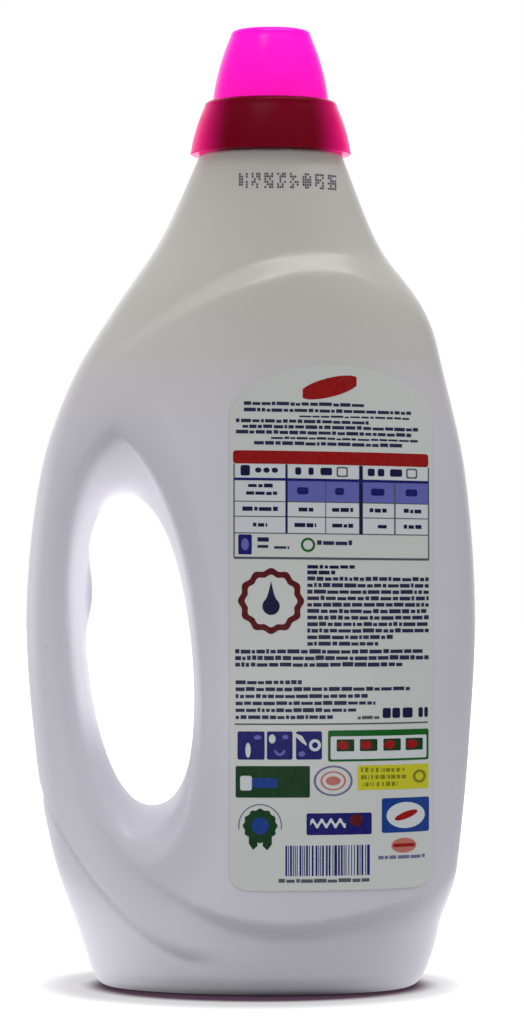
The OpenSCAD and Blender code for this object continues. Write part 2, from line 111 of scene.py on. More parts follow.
class BodySizes(bpy.types.PropertyGroup):
    """Sizes of the blown body"""

    panel_relief: FloatProperty(
        name="Panel Relief", description="How proud the label panel stands",
        default=0.0028, unit="LENGTH")
    band_relief: FloatProperty(
        name="Band Relief", description="How proud the handle's band stands of the foot",
        default=0.0010, unit="LENGTH")
    crease_depth: FloatProperty(
        name="Crease Depth", description="Depth of the groove under the band",
        default=0.0005, unit="LENGTH")
    rim_radius: FloatProperty(
        name="Rim Radius", description="Rounding of the rim of the handle hole",
        default=0.0030, unit="LENGTH")
    base_radius: FloatProperty(
        name="Base Radius", description="Rounding of the edge round the base",
        default=0.0030, unit="LENGTH")
    push_up: FloatProperty(
        name="Push Up", description="Height of the hollow under the base",
        default=0.0026, unit="LENGTH")
    wall: FloatProperty(
        name="Wall", description="Wall of the blown shell", default=0.0010, unit="LENGTH")
    mesh_step: FloatProperty(
        name="Mesh Step", description="Size of the faces of the outer skin",
        default=0.00105, unit="LENGTH")
    cavity_step: FloatProperty(
        name="Cavity Step", description="Size of the faces inside the bottle",
        default=0.0026, unit="LENGTH")


class ClosureSizes(bpy.types.PropertyGroup):
    """Sizes of the collar and the cap"""

    thread_lead: FloatProperty(
        name="Thread Lead", description="Rise of the two-start thread in one turn",
        default=0.012, unit="LENGTH")
    thread_depth: FloatProperty(
        name="Thread Depth", description="How far the thread stands proud",
        default=0.00045, unit="LENGTH")
    segments: IntProperty(
        name="Segments", description="Faces round each turned part", default=144)


class Finishes(bpy.types.PropertyGroup):
    """Colours of the materials"""

    body: FloatVectorProperty(
        name="Body", description="White polyethylene", subtype="COLOR", size=3,
        default=(0.72, 0.715, 0.72), min=0, max=1)
    film: FloatVectorProperty(
        name="Film", description="Label film", subtype="COLOR", size=3,
        default=(0.655, 0.687, 0.66), min=0, max=1)
    cap: FloatVectorProperty(
        name="Cap", description="Translucent magenta", subtype="COLOR", size=3,
        default=(0.96, 0.004, 0.60), min=0, max=1)
    collar: FloatVectorProperty(
        name="Collar", description="Dark crimson", subtype="COLOR", size=3,
        default=(0.20, 0.0, 0.012), min=0, max=1)


class StageSizes(bpy.types.PropertyGroup):
    """Camera and lamps"""

    distance: FloatProperty(
        name="Camera Distance", description="From the camera to the bottle's middle",
        default=1.003, unit="LENGTH")
    aside: FloatProperty(
        name="Camera Aside", description="Camera to the right of the bottle's middle",
        default=0.0031, unit="LENGTH")
    height: FloatProperty(
        name="Camera Height", description="Camera above the ground", default=0.1295, unit="LENGTH")
    lens: FloatProperty(name="Lens", description="Focal length in millimetres", default=128.7)
    sky: FloatProperty(name="Sky", description="Strength of the room's even light", default=0.55)
    front_gloss: FloatProperty(
        name="Front Gloss", description="Strength of the room that a gloss facing the camera shows",
        default=0.12)
    backdrop: FloatProperty(
        name="Backdrop", description="Strength of the light from the backdrop's side", default=1.5)
    rim: FloatProperty(
        name="Rim", description="Power of each lamp beside the backdrop", default=0.7, unit="POWER")
    fill: FloatProperty(
        name="Fill", description="Power of the low lamp in front of the foot", default=0.06, unit="POWER")
    overhead: FloatProperty(
        name="Overhead", description="Power of the soft lamp overhead", default=8.5, unit="POWER")
    floor_front: FloatProperty(
        name="Floor Front", description="Light that the floor in front throws back", default=0.33)
    floor_side: FloatProperty(
        name="Floor Side", description="Light that the floor beside the bottle throws back", default=1.1)
    floor_back: FloatProperty(
        name="Floor Back", description="Light that the floor right behind adds to that", default=0.5)
    floor_glow: FloatProperty(
        name="Floor Glow", description="Light added to the floor that the camera sees", default=0.75)


# The form of the body, as a field that is the distance outside the wall in millimetres

# Small step that the forms' slopes are measured over
PROBE = 0.05


def smooth_step(t):
    """A smooth step from 0 to 1."""
    t = np.clip(t, 0.0, 1.0)
    return t * t * (3.0 - 2.0 * t)


def soft_ramp(t, width):
    """A ramp from 0 to 1 that starts and ends softly, by width outside its ends."""
    straight = np.clip(t, 0.0, 1.0)
    eased = smooth_step((t + width) / (1.0 + 2.0 * width))
    return straight * (1.0 - EASED_SHARE) + eased * EASED_SHARE


def smooth_max(a, b, radius):
    """The greater of two distances, with the corner between them rounded."""
    overlap = np.maximum(radius - np.abs(a - b), 0.0) / radius
    return np.maximum(a, b) + overlap * overlap * radius * 0.25


def lofted(values, z):
    """Smooth curve through one value of each section, at heights z."""
    z = np.clip(z, HEIGHT[0], HEIGHT[-1])
    i = np.clip(np.searchsorted(HEIGHT, z) - 1, 0, len(HEIGHT) - 2)
    slopes = np.empty(len(values))
    slopes[1:-1] = (values[2:] - values[:-2]) / (HEIGHT[2:] - HEIGHT[:-2])
    slopes[0] = (values[1] - values[0]) / (HEIGHT[1] - HEIGHT[0])
    slopes[-1] = (values[-1] - values[-2]) / (HEIGHT[-1] - HEIGHT[-2])
    h = HEIGHT[i + 1] - HEIGHT[i]
    t = (z - HEIGHT[i]) / h
    return ((1 + 2 * t) * (1 - t) ** 2 * values[i] + t * (1 - t) ** 2 * h * slopes[i]
            + t * t * (3 - 2 * t) * values[i + 1] + t * t * (t - 1) * h * slopes[i + 1])


def across(x, z):
    """Place across the bottle: -1 at the handle's edge, 0 at the neck axis, 1 at the far right."""
    reach = np.where(x < NECK_X, lofted(LEFT_REACH, z), lofted(RIGHT_REACH, z))
    return (x - NECK_X) / reach


def section_size(x, y, z):
    """1 on the plain section's outline, less inside it and more outside it."""
    s = across(x, z)
    cone_share = 1 - smooth_step((z - GRIP_Z) / (BODY_TOP - GRIP_Z))
    n = 2 + (np.where(s < 0, HANDLE_ROUNDNESS, SIDE_ROUNDNESS) - 2) * cone_share
    thinning = (FOOT_THINNING + (HANDLE_THINNING - FOOT_THINNING) * smooth_step(z / WAIST_Z)) * cone_share
    thinned = np.where(s < 0, 1 - thinning * np.minimum(s * s, 1.2), 1.0)
    half = lofted(HALF_DEPTH, z) * thinned
    return (np.abs(s) ** n + (np.abs(y) / half) ** n + 1e-12) ** (1 / n)


def arch_high(s):
    """Upper edge of the panel's arch."""
    left = ARCH_LEFT_FALL * (1 - np.sqrt(np.maximum(1 - ((ARCH_PEAK - s) / ARCH_SPAN) ** 2, 0)))
    right = ARCH_RIGHT_FALL * ((s - ARCH_PEAK) / (1 - ARCH_PEAK)) ** 2
    return ARCH_Z - np.where(s < ARCH_PEAK, left, right)


def arch_low(s):
    """Lower edge of the bevel under the arch, which narrows to the left and opens at the far right."""
    narrow = ARCH_BEVEL * (1 + 0.3 * np.minimum(s, 0))
    return arch_high(s) - narrow - 8.6 * np.maximum((s - 0.55) / 0.45, 0) ** 2


def foot_high(s):
    """Upper edge of the bevel along the panel's foot."""
    return FOOT_LOWEST + 30 * np.maximum(0.2 - s, 0) ** 3 + 11 * np.maximum(s - 0.1, 0) ** 1.7


def foot_low(s):
    """Lower edge of the bevel along the panel's foot, which does the same."""
    narrow = FOOT_BEVEL * (0.5 + 0.5 * smooth_step((s + 0.6) / 0.65))
    return foot_high(s) - narrow - 6.0 * np.maximum((s - 0.6) / 0.4, 0) ** 2


def crease_low(s):
    """Lower edge of the handle's band."""
    return BAND_LOWEST + 107 * np.maximum(-0.31 - s, 0) ** 2.55


def crease(s, z, width):
    """1 in the middle of the groove under the handle's band, 0 away from it and up the handle."""
    middle = crease_low(s) + 0.4
    beside_handle = smooth_step((-0.28 - s) / 0.2)
    below_handle = 1 - smooth_step((z - 50) / 20)
    return np.exp(-((z - middle) / width) ** 2) * beside_handle * below_handle


def relief(s, z, sizes):
    """How far the wall stands proud of the plain section."""
    panel = (soft_ramp((z - foot_low(s)) / (foot_high(s) - foot_low(s)), 0.25)
             * (1 - soft_ramp((z - arch_low(s)) / (arch_high(s) - arch_low(s)), 0.25))
             * smooth_step((s + 1.05) / 0.7))
    # At the outline the band's lower edge spreads, so that it leaves no step there
    spread = 24.0 * smooth_step((-0.78 - s) / 0.22)
    band = (soft_ramp((z - crease_low(s) + spread) / (BAND_BEVEL + spread), 0.3)
            * (1 - smooth_step((z - GRIP_Z) / (ARCH_Z - GRIP_Z)))
            * (1 - smooth_step((s + 0.45) / 0.25)))
    proud = band * (1 - panel) * sizes.band_relief + panel * sizes.panel_relief
    return (proud - crease(s, z, CREASE_WIDTH) * sizes.crease_depth) / MM


def plain_distance(x, y, z):
    """Distance outside the plain section, measured level."""
    size = section_size(x, y, z)
    slope_x = (section_size(x + PROBE, y, z) - section_size(x - PROBE, y, z)) / (2 * PROBE)
    slope_y = (section_size(x, y + PROBE, z) - section_size(x, y - PROBE, z)) / (2 * PROBE)
    return (size - 1) / np.maximum(np.sqrt(slope_x * slope_x + slope_y * slope_y), 0.008)


def flare(y, widen, deep, end):
    """Widening of the hole at depth y, which levels off towards the depth end."""
    y = -smooth_max(-y, np.full_like(y, -end), 2.5)
    return widen * (1 - np.sqrt(np.maximum(1 - (y / deep) ** 2, 0)))


def hole_size(x, y, z):
    """1 on the hole's wall, less inside the hole."""
    u = (x - HOLE_X) * math.cos(HOLE_LEAN) + (z - HOLE_Z) * math.sin(HOLE_LEAN)
    w = -(x - HOLE_X) * math.sin(HOLE_LEAN) + (z - HOLE_Z) * math.cos(HOLE_LEAN)
    deep = np.abs(y)
    left = HOLE_HALF_WIDTH + flare(deep, *FLARE_LEFT)
    right = HOLE_HALF_WIDTH + flare(deep, *FLARE_RIGHT)
    top = HOLE_HALF_HEIGHT + flare(deep, *FLARE_TOP)
    bottom = HOLE_HALF_HEIGHT + flare(deep, *FLARE_BOTTOM)
    du = (u - (right - left) / 2) / ((right + left) / 2)
    dw = (w - (top - bottom) / 2) / ((top + bottom) / 2)
    n = HOLE_ROUNDNESS
    return (np.abs(du) ** n + np.abs(dw) ** n + 1e-12) ** (1 / n)


def hole_distance(x, y, z):
    """Distance inside the hole, from its wall."""
    size = hole_size(x, y, z)
    slope_x = (hole_size(x + PROBE, y, z) - size) / PROBE
    slope_z = (hole_size(x, y, z + PROBE) - size) / PROBE
    slope_y = (hole_size(x, y + PROBE, z) - hole_size(x, y - PROBE, z)) / (2 * PROBE)
    level = np.maximum(np.sqrt(slope_x * slope_x + slope_z * slope_z), 0.01)
    # The slope with depth counts only near the wall, where the flare is
    deep = np.minimum(np.abs(slope_y), 1.5 * level) * smooth_step(1 + (1 - size) / level / 6.0)
    return (1 - size) / np.sqrt(level * level + deep * deep)


def seam_flash(x, y, z):
    """Distance outside the short ridge that the mould leaves on the handle's inner wall."""
    rise = z - FLASH_Z
    middle = FLASH_X - rise * math.tan(HOLE_LEAN)
    return np.sqrt((x - middle) ** 2 + y * y + (rise * FLASH_STRETCH) ** 2) - FLASH_RADIUS


def body_field(x, y, z, sizes):
    """Distance outside the whole body, in millimetres."""
    skin = plain_distance(x, y, z) - relief(across(x, z), z, sizes)
    # The hole's rim is rounder on the handle than on the body
    softness = 0.4 + 0.6 * smooth_step((HOLE_X + 8 - x) / 16)
    field = smooth_max(skin, hole_distance(x, y, z), 2 * sizes.rim_radius / MM * softness)
    field = -smooth_max(-field, -seam_flash(x, y, z), 4.0)
    field = smooth_max(field, -z, 2 * sizes.base_radius / MM)
    # The base is hollow inside the ring that it stands on
    share = 1 - smooth_step((section_size(x, y, np.zeros_like(z)) - 0.62) / 0.22)
    hollow = (sizes.push_up / MM + 1.2) * share - 1.2
    field = smooth_max(field, hollow - z, 1.0)
    return smooth_max(field, z - BODY_TOP - COLLAR_LIFT, 0.8)


def painted_glow(x, y, z):
    """Strength of the painted glow that stands in for light through the wall: most at the hole's rim,
    less along the sides and foot.
    """
    u = (x - HOLE_X) / HOLE_HALF_WIDTH
    w = (z - HOLE_Z) / HOLE_HALF_HEIGHT
    middle = np.zeros_like(x)
    size = hole_size(x, middle, z)
    slope_x = (hole_size(x + PROBE, middle, z) - size) / PROBE
    slope_z = (hole_size(x, middle, z + PROBE) - size) / PROBE
    away = np.maximum(size - 1, 0) / np.maximum(np.sqrt(slope_x ** 2 + slope_z ** 2), 0.01)
    # Round the hole it reaches furthest at the top, and fades under the hole and to its right
    reach = 8.0 + 15.0 * smooth_step(w / 1.1)
    beside = smooth_step((1.6 - u) / 0.8) * smooth_step((w + 0.75) / 0.5)
    flared = smooth_step(1 + hole_distance(x, y, z) / 1.6) * smooth_step(seam_flash(x, y, z) / 1.5)
    rim = flared * beside * np.maximum(1 - away / reach, 0) ** 0.8
    # Along the outline it reaches further over the foot, and is strongest on the handle's side
    left = smooth_step((NECK_X + 12 - x) / 40)
    foot = smooth_step((36 - z) / 20)
    share = 0.4 + 0.6 * np.maximum(left, foot)
    sides = share * np.maximum(1 - np.abs(y) / (9.0 + 15.0 * foot), 0) + 0.2 * left
    sides = sides * smooth_step((BODY_TOP - z) / 20) * smooth_step((size - 1.35) / 0.35)
    return np.maximum(rim, 0.75 * sides)


def gradient(field, points):
    """Slope of a field at points, by small steps."""
    step = 0.04
    slopes = np.empty_like(points)
    for axis in range(3):
        ahead, behind = points.copy(), points.copy()
        ahead[:, axis] += step
        behind[:, axis] -= step
        slopes[:, axis] = (field(*ahead.T) - field(*behind.T)) / (2 * step)
    return slopes


def settle(field, points, reach, rounds=4):
    """Points moved onto the surface where the field is 0, never more than reach in one round."""
    for _ in range(rounds):
        slopes = gradient(field, points)
        steep = np.maximum((slopes ** 2).sum(1), 0.05)
        move = -(field(*points.T) / steep)[:, None] * slopes
        far = np.linalg.norm(move, axis=1)
        points = points + move * np.minimum(1.0, reach / np.maximum(far, 1e-9))[:, None]
    return points


def net(field, low, high, step):
    """Quads over the surface where the field is 0: one point in each grid cell that it crosses."""
    axes = [np.arange(low[k] - 2 * step, high[k] + 2.5 * step, step) for k in range(3)]
    grid = np.stack(np.meshgrid(*axes, indexing="ij"), -1).reshape(-1, 3)
    shape = tuple(len(a) for a in axes)
    values = field(*grid.T).reshape(shape)
    inside = values < 0
    corners = [(i, j, k) for i in (0, 1) for j in (0, 1) for k in (0, 1)]

    def corner(block, c):
        return block[c[0]:shape[0] - 1 + c[0], c[1]:shape[1] - 1 + c[1], c[2]:shape[2] - 1 + c[2]]

    count = sum(corner(inside, c).astype(np.int8) for c in corners)
    mixed = (count > 0) & (count < 8)
    cells = np.argwhere(mixed)
    number = np.full(mixed.shape, -1)
    number[mixed] = np.arange(len(cells))
    total, crossed = np.zeros((len(cells), 3)), np.zeros(len(cells))
    for a in corners:
        for axis in range(3):
            if a[axis]:
                continue
            b = tuple(v + (k == axis) for k, v in enumerate(a))
            va = values[tuple((cells + a).T)]
            vb = values[tuple((cells + b).T)]
            cut = (va < 0) != (vb < 0)
            share = np.where(cut, va / np.where(cut, va - vb, 1.0), 0.0)
            place = np.array(a, float) + share[:, None] * (np.arange(3) == axis)
            total += place * cut[:, None]
            crossed += cut
    points = (cells + total / crossed[:, None]) * step + [a[0] for a in axes]
    quads = []
    for axis in range(3):
        u, v = [k for k in range(3) if k != axis]
        start = [slice(1, n - 1) for n in shape]
        start[axis] = slice(0, shape[axis] - 1)
        ahead = list(start)
        ahead[axis] = slice(1, shape[axis])
        here, there = inside[tuple(start)], inside[tuple(ahead)]
        edges = np.argwhere(here != there) + [s.start for s in start]
        outward = inside[tuple(edges.T)]
        ring = []
        for du, dv in ((0, 0), (1, 0), (1, 1), (0, 1)):
            cell = edges.copy()
            cell[:, u] -= du
            cell[:, v] -= dv
            ring.append(number[tuple(cell.T)])
        quad = np.stack(ring, 1)
        flip = outward if axis != 1 else ~outward
        quad[~flip] = quad[~flip][:, ::-1]
        quads.append(quad)
    return points, np.concatenate(quads)


def front_points(x, z, lift, sizes):
    """Points on the label side of the body at (x, z), lifted off the wall."""
    beyond, halvings = -45.0, 26
    near, far = np.zeros_like(x), np.full_like(x, beyond)
    for _ in range(halvings):
        middle = (near + far) / 2
        outside = body_field(x, middle, z, sizes) > lift
        far = np.where(outside, middle, far)
        near = np.where(outside, near, middle)
    return np.stack([x, (near + far) / 2, z], 1)


# Meshes

def mesh_object(name, points, faces, materials, smooth=True, angle=None):
    """A mesh object in metres from points in millimetres."""
    mesh = bpy.data.meshes.new(name)
    faces = [[int(i) for i in face] for face in faces]
    mesh.from_pydata((np.asarray(points) * MM).tolist(), [], faces)
    mesh.validate()
    for material in materials:
        mesh.materials.append(material)
    if smooth:
        mesh.shade_smooth()
    else:
        mesh.shade_flat()
    if angle is not None:
        mesh.set_sharp_from_angle(angle=math.radians(angle))
    obj = bpy.data.objects.new(name, mesh)
    bpy.context.scene.collection.objects.link(obj)
    return obj


def turned(profile, segments, centre=(0.0, 0.0)):
    """Points and faces of a closed profile of (radius, height), turned about an upright axis."""
    profile = np.asarray(profile, float)
    n = len(profile)
    angles = np.arange(segments) * 2 * math.pi / segments
    points = np.empty((segments, n, 3))
    points[:, :, 0] = centre[0] + np.cos(angles)[:, None] * profile[:, 0]
    points[:, :, 1] = centre[1] + np.sin(angles)[:, None] * profile[:, 0]
    points[:, :, 2] = profile[:, 1]
    faces = []
    for i in range(segments):
        j = (i + 1) % segments
        for k in range(n):
            m = (k + 1) % n
            if profile[k, 0] < 1e-6 and profile[m, 0] < 1e-6:
                continue
            faces.append((i * n + k, j * n + k, j * n + m, i * n + m))
    return points.reshape(-1, 3), faces


def joined(*parts):
    """Several (points, faces) as one."""
    points, faces, start = [], [], 0
    for part_points, part_faces in parts:
        points.append(np.asarray(part_points, float))
        faces += [tuple(int(i) + start for i in f) for f in part_faces]
        start += len(part_points)
    return np.concatenate(points), faces


def weld(obj, gap=1e-6):
    """Joins points that coincide, turns all faces outward and keeps the sharp edges of a turned part."""
    bm = bmesh.new()
    bm.from_mesh(obj.data)
    bmesh.ops.remove_doubles(bm, verts=bm.verts, dist=gap)
    bmesh.ops.dissolve_degenerate(bm, edges=bm.edges, dist=gap)
    bmesh.ops.recalc_face_normals(bm, faces=bm.faces)
    bm.to_mesh(obj.data)
    bm.free()
    obj.data.shade_smooth()
    obj.data.set_sharp_from_angle(angle=math.radians(35))


def helical_ridge(radius, proud, height, z_low, z_high, lead, start, inward, centre, steps=72):
    """Points and faces of one thread ridge, rooted in its wall, that fades out at both ends."""
    turns = (z_high - z_low) / lead
    count = max(8, int(turns * steps))
    sign = -1 if inward else 1
    root = 0.2
    half, crest = height / 2, height / 5
    points = []
    for i in range(count + 1):
        t = i / count
        angle = start + turns * 2 * math.pi * t
        z = z_low + (z_high - z_low) * t
        fade = min(1.0, t * 8, (1 - t) * 8)
        peak = radius + sign * proud * fade
        back = radius - sign * root
        outline = (
            (back, -half), (radius, -half), (peak, -crest),
            (peak, crest), (radius, half), (back, half))
        for r, dz in outline:
            points.append((centre[0] + r * math.cos(angle), centre[1] + r * math.sin(angle), z + dz))
    n = len(outline)
    faces = []
    for i in range(count):
        for k in range(n):
            m = (k + 1) % n
            faces.append((i * n + k, i * n + m, (i + 1) * n + m, (i + 1) * n + k))
    faces.append(tuple(reversed(range(n))))
    faces.append(tuple(count * n + k for k in range(n)))
    return points, faces


# Materials

def added(tree, kind, inputs=None, **settings):
    """A new node with its settings, and with each input's value or the socket that it comes from."""
    node = tree.nodes.new(kind)
    for name, value in settings.items():
        setattr(node, name, value)
    for name, value in (inputs or {}).items():
        if isinstance(value, bpy.types.NodeSocket):
            tree.links.new(value, node.inputs[name])
        else:
            node.inputs[name].default_value = value
    return node


def arithmetic(tree, operation, a, b=0.0):
    """One math node between two values or sockets."""
    return added(tree, "ShaderNodeMath", {0: a, 1: b}, operation=operation).outputs[0]


def ranged(tree, value, places, levels, kind="SMOOTHSTEP"):
    """A level that goes from the first to the second between two places of a value."""
    inputs = {"Value": value, "From Min": places[0], "From Max": places[1],
              "To Min": levels[0], "To Max": levels[1]}
    return added(tree, "ShaderNodeMapRange", inputs, interpolation_type=kind).outputs["Result"]


def blended(tree, share, first, second):
    """A colour between two colours."""
    inputs = {"Factor": share, "A": first, "B": second}
    return added(tree, "ShaderNodeMix", inputs, data_type="RGBA").outputs["Result"]


def object_space(tree):
    """The object's own coordinates."""
    return added(tree, "ShaderNodeTexCoord").outputs["Object"]


def split(tree, vector):
    """A vector's X, Y and Z."""
    return added(tree, "ShaderNodeSeparateXYZ", {"Vector": vector}).outputs


def painted(tree, name):
    """A value that the mesh holds at each of its points."""
    return added(tree, "ShaderNodeAttribute", attribute_name=name).outputs["Fac"]


def noise_between(tree, coordinate, scale, low, high, detail=2.0):
    """A value that wanders between low and high."""
    noise = added(tree, "ShaderNodeTexNoise", {"Vector": coordinate, "Scale": scale, "Detail": detail})
    return ranged(tree, noise.outputs["Fac"], (0.3, 0.7), (low, high), "LINEAR")


def bump(tree, shader, height, distance):
    """Bump from a height value."""
    node = added(tree, "ShaderNodeBump", {"Height": height, "Distance": distance})
    tree.links.new(node.outputs["Normal"], shader.inputs["Normal"])


def new_material(name, colour, roughness, ior=1.5):
    """A material with its node tree and its principled shader, ready for more nodes."""
    material = bpy.data.materials.new(name)
    material.use_nodes = True
    shader = material.node_tree.nodes["Principled BSDF"]
    shader.inputs["Base Color"].default_value = (*colour, 1.0)
    shader.inputs["Roughness"].default_value = roughness
    shader.inputs["IOR"].default_value = ior
    return material, material.node_tree, shader


def blown_polyethylene(colour):
    """White satin polyethylene with a fine orange peel, a thin parting line round the sides, painted
    shade at the shoulder and along the groove under the band, and a painted glow near the thin walls.
    """
    material, tree, shader = new_material("white polyethylene", colour, 0.36)
    links = tree.links
    shader.inputs["Subsurface Weight"].default_value = 0.15
    shader.inputs["Subsurface Radius"].default_value = (1.0, 0.97, 0.99)
    shader.inputs["Subsurface Scale"].default_value = 0.008
    place = object_space(tree)
    links.new(noise_between(tree, place, 45.0, 0.27, 0.33, 3.0), shader.inputs["Roughness"])
    axes = split(tree, place)
    line_width = 0.00035
    away = arithmetic(tree, "DIVIDE", arithmetic(tree, "ABSOLUTE", axes["Y"]), line_width)
    line = arithmetic(tree, "MAXIMUM", arithmetic(tree, "SUBTRACT", 1.0, away), 0.0)
    peel = noise_between(tree, place, 700.0, 0.0, 0.06)
    bump(tree, shader, arithmetic(tree, "ADD", line, peel), 0.00012)
    # Painted shade: darker and warmer at the shoulder, under the collar, and a little cooler at the foot
    cool, shaded_shoulder = (1.0, 0.99, 1.09), (0.95, 0.92, 0.85)
    rise = ranged(tree, axes["Z"], (0.145, 0.185), (0.0, 1.0))
    tints = [(*(c * k for c, k in zip(colour, tone)), 1.0) for tone in (cool, shaded_shoulder)]
    tint = blended(tree, rise, *tints)
    # Painted shade: the base colour darkens along the groove under the handle's band
    shade = arithmetic(tree, "MULTIPLY", painted(tree, "crease"), 0.3)
    links.new(blended(tree, shade, tint, (0.3, 0.32, 0.33, 1.0)), shader.inputs["Base Color"])
    # Painted glow: emission that stands in for light from the backdrop coming through the thin wall
    through = arithmetic(tree, "MULTIPLY", painted(tree, "painted_glow"), 0.29)
    links.new(through, shader.inputs["Emission Strength"])
    shader.inputs["Emission Color"].default_value = (1.0, 0.99, 1.0, 1.0)
    return material


def printed_film(colour):
    """Pale label film with a faint unevenness."""
    material, tree, shader = new_material("label film", colour, 0.3)
    place = object_space(tree)
    tree.links.new(noise_between(tree, place, 60.0, 0.27, 0.35), shader.inputs["Roughness"])
    bump(tree, shader, noise_between(tree, place, 90.0, 0.0, 0.2), 0.0001)
    return material


def ink(name, colour):
    """One printing ink, satin, a little uneven in strength."""
    material, tree, shader = new_material(name, colour, 0.34)
    shader.inputs["Specular IOR Level"].default_value = 0.2
    thin_ink = (*(c + (0.66 - c) * 0.6 for c in colour), 1.0)
    uneven = noise_between(tree, object_space(tree), 900.0, 0.0, 0.03)
    tree.links.new(blended(tree, uneven, (*colour, 1.0), thin_ink), shader.inputs["Base Color"])
    return material


def tinted_plastic(name, colour, roughness, transmission, specular):
    """Injection-moulded polypropylene with a faint flow texture."""
    material, tree, shader = new_material(name, colour, roughness, 1.49)
    shader.inputs["Transmission Weight"].default_value = transmission
    shader.inputs["Specular IOR Level"].default_value = specular
    place = object_space(tree)
    uneven = noise_between(tree, place, 130.0, roughness * 0.85, roughness * 1.2)
    tree.links.new(uneven, shader.inputs["Roughness"])
    bump(tree, shader, noise_between(tree, place, 260.0, 0.0, 0.12), 0.0002)
    return material, tree, shader


# Operators

class BOTTLE_OT_body(bpy.types.Operator):
    """Blown body with its handle, panel and hollow base"""

    bl_idname = "bottle.body"
    bl_label = "Make Body"

    def execute(self, context):
        sizes = context.scene.bottle_body
        step = sizes.mesh_step / MM * 1.0

        def outer(x, y, z):
            return body_field(x, y, z, sizes)

        def inner(x, y, z):
            return body_field(x, y, z, sizes) + sizes.wall / MM

        high = (BODY_HIGH[0], BODY_HIGH[1], BODY_TOP + COLLAR_LIFT)
        points, faces = net(outer, BODY_LOW, high, step)
        points = np.clip(settle(outer, points, step * 0.5), BODY_LOW, BODY_HIGH)
        cavity_step = sizes.cavity_step / MM
        cavity, cavity_faces = net(inner, BODY_LOW, high, cavity_step)
        cavity = settle(inner, cavity, cavity_step * 0.5)
        neck = self.neck()
        shell = joined((points, faces), (cavity, cavity_faces[:, ::-1]), neck)
        material = blown_polyethylene(context.scene.bottle_finish.body)
        obj = mesh_object("blown_body", *shell, [material], angle=40)
        # Shading follows the form itself and not its faces
        plain = np.zeros((len(neck[0]), 3))
        slopes = np.concatenate([gradient(outer, points), -gradient(inner, cavity), plain])
        slopes /= np.maximum(np.linalg.norm(slopes, axis=1), 1e-9)[:, None]
        obj.data.normals_split_custom_set_from_vertices(slopes.tolist())
        rest = np.zeros(len(cavity) + len(neck[0]))
        x, y, z = points.T
        # Masks kept on the points for the material: painted shade along the groove and a painted glow
        # near the thin walls
        groove = crease(across(x, z), z, CREASE_SHADE_WIDTH)
        for name, values in (("painted_glow", painted_glow(x, y, z)), ("crease", groove)):
            attribute = obj.data.attributes.new(name, "FLOAT", "POINT")
            attribute.data.foreach_set("value", np.concatenate([values, rest]).astype(np.float32))
        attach(obj, "bottle")
        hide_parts("bottle_body")
        return {"FINISHED"}

    def neck(self):
        """The neck finish with its snap bead."""
        outer, bore, bead, bead_z = 17.6, 16.2, 0.5, 4.5
        profile = [
            (bore, -0.9), (outer, -0.9), (outer, bead_z - 0.9), (outer + bead, bead_z - 0.45),
            (outer + bead, bead_z + 0.45), (outer, bead_z + 0.9), (outer, NECK_HEIGHT - 0.5),
            (outer - 0.5, NECK_HEIGHT), (bore, NECK_HEIGHT),
        ]
        segments = 144
        return turned([(r, z + BODY_TOP) for r, z in profile], segments, NECK_AXIS)


class BOTTLE_OT_label(bpy.types.Operator):
    """Printed film on the panel"""

    bl_idname = "bottle.label"
    bl_label = "Make Label"

    # Edges, rise of the arched top, rounding of the lower corners, gap under the film and its
    # thickness, all in millimetres
    left, right, bottom, top = NECK_X - 11.0, NECK_X + 43.3, 29.0, 168.8
    rise, corner, film_gap, film = 14.0, 5.0, 0.1, 0.14

    def execute(self, context):
        self.sizes = context.scene.bottle_body
        self.middle = (self.left + self.right) / 2
        self.half = (self.right - self.left) / 2
        obj = self.film_sheet(printed_film(context.scene.bottle_finish.film))
        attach(obj, "bottle")
        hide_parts("back_label")
        return {"FINISHED"}

    def film_sheet(self, material):
        """The film: a closed thin sheet with an arched top and rounded lower corners."""
        columns, rows = 72, 120
        x = self.middle - self.half * np.cos(np.linspace(0, math.pi, columns + 1))
        across_half = np.clip(np.abs(x - self.middle) / self.half, 0, 1)
        top = self.top - self.rise * (1 - np.sqrt(1 - across_half ** 2))
        past = np.maximum(np.abs(x - self.middle) - self.half + self.corner, 0)
        bottom = self.bottom + self.corner - np.sqrt(np.maximum(self.corner ** 2 - past ** 2, 0))
        t = np.linspace(0, 1, rows + 1)[:, None]
        z = bottom + (top - bottom) * t
        xx = np.broadcast_to(x, z.shape)
        inner = front_points(xx.ravel(), z.ravel(), self.film_gap, self.sizes)
        outer = front_points(xx.ravel(), z.ravel(), self.film_gap + self.film, self.sizes)
        row, side = columns + 1, (columns + 1) * (rows + 1)
        faces = []
        for j in range(rows):
            for i in range(columns):
                a = j * row + i
                faces.append((side + a, side + a + 1, side + a + row + 1, side + a + row))
                faces.append((a, a + row, a + row + 1, a + 1))
        edge = list(range(columns)) + [j * row + columns for j in range(rows)]
        edge += [rows * row + i for i in range(columns, 0, -1)] + [j * row for j in range(rows, 0, -1)]
        for a, b in zip(edge, edge[1:] + edge[:1]):
            faces.append((a, b, side + b, side + a))
        return mesh_object("printed_film", np.concatenate([inner, outer]), faces, [material], angle=40)


# Printing inks, as linear colours
INKS = {
    "text": (0.02, 0.022, 0.075),
    "bold": (0.004, 0.004, 0.055),
    "navy": (0.006, 0.004, 0.15),
    "violet": (0.13, 0.14, 0.48),
    "red": (0.33, 0.0, 0.001),
    "maroon": (0.11, 0.0, 0.003),
    "green": (0.0, 0.12, 0.01),
    "forest": (0.0, 0.045, 0.006),
    "yellow": (0.62, 0.60, 0.02),
    "olive": (0.22, 0.23, 0.005),
    "blue": (0.004, 0.045, 0.27),
    "white": (0.66, 0.70, 0.72),
    "salmon": (0.55, 0.17, 0.14),
    "mauve": (0.17, 0.15, 0.30),
    "rule": (0.09, 0.10, 0.13),
}


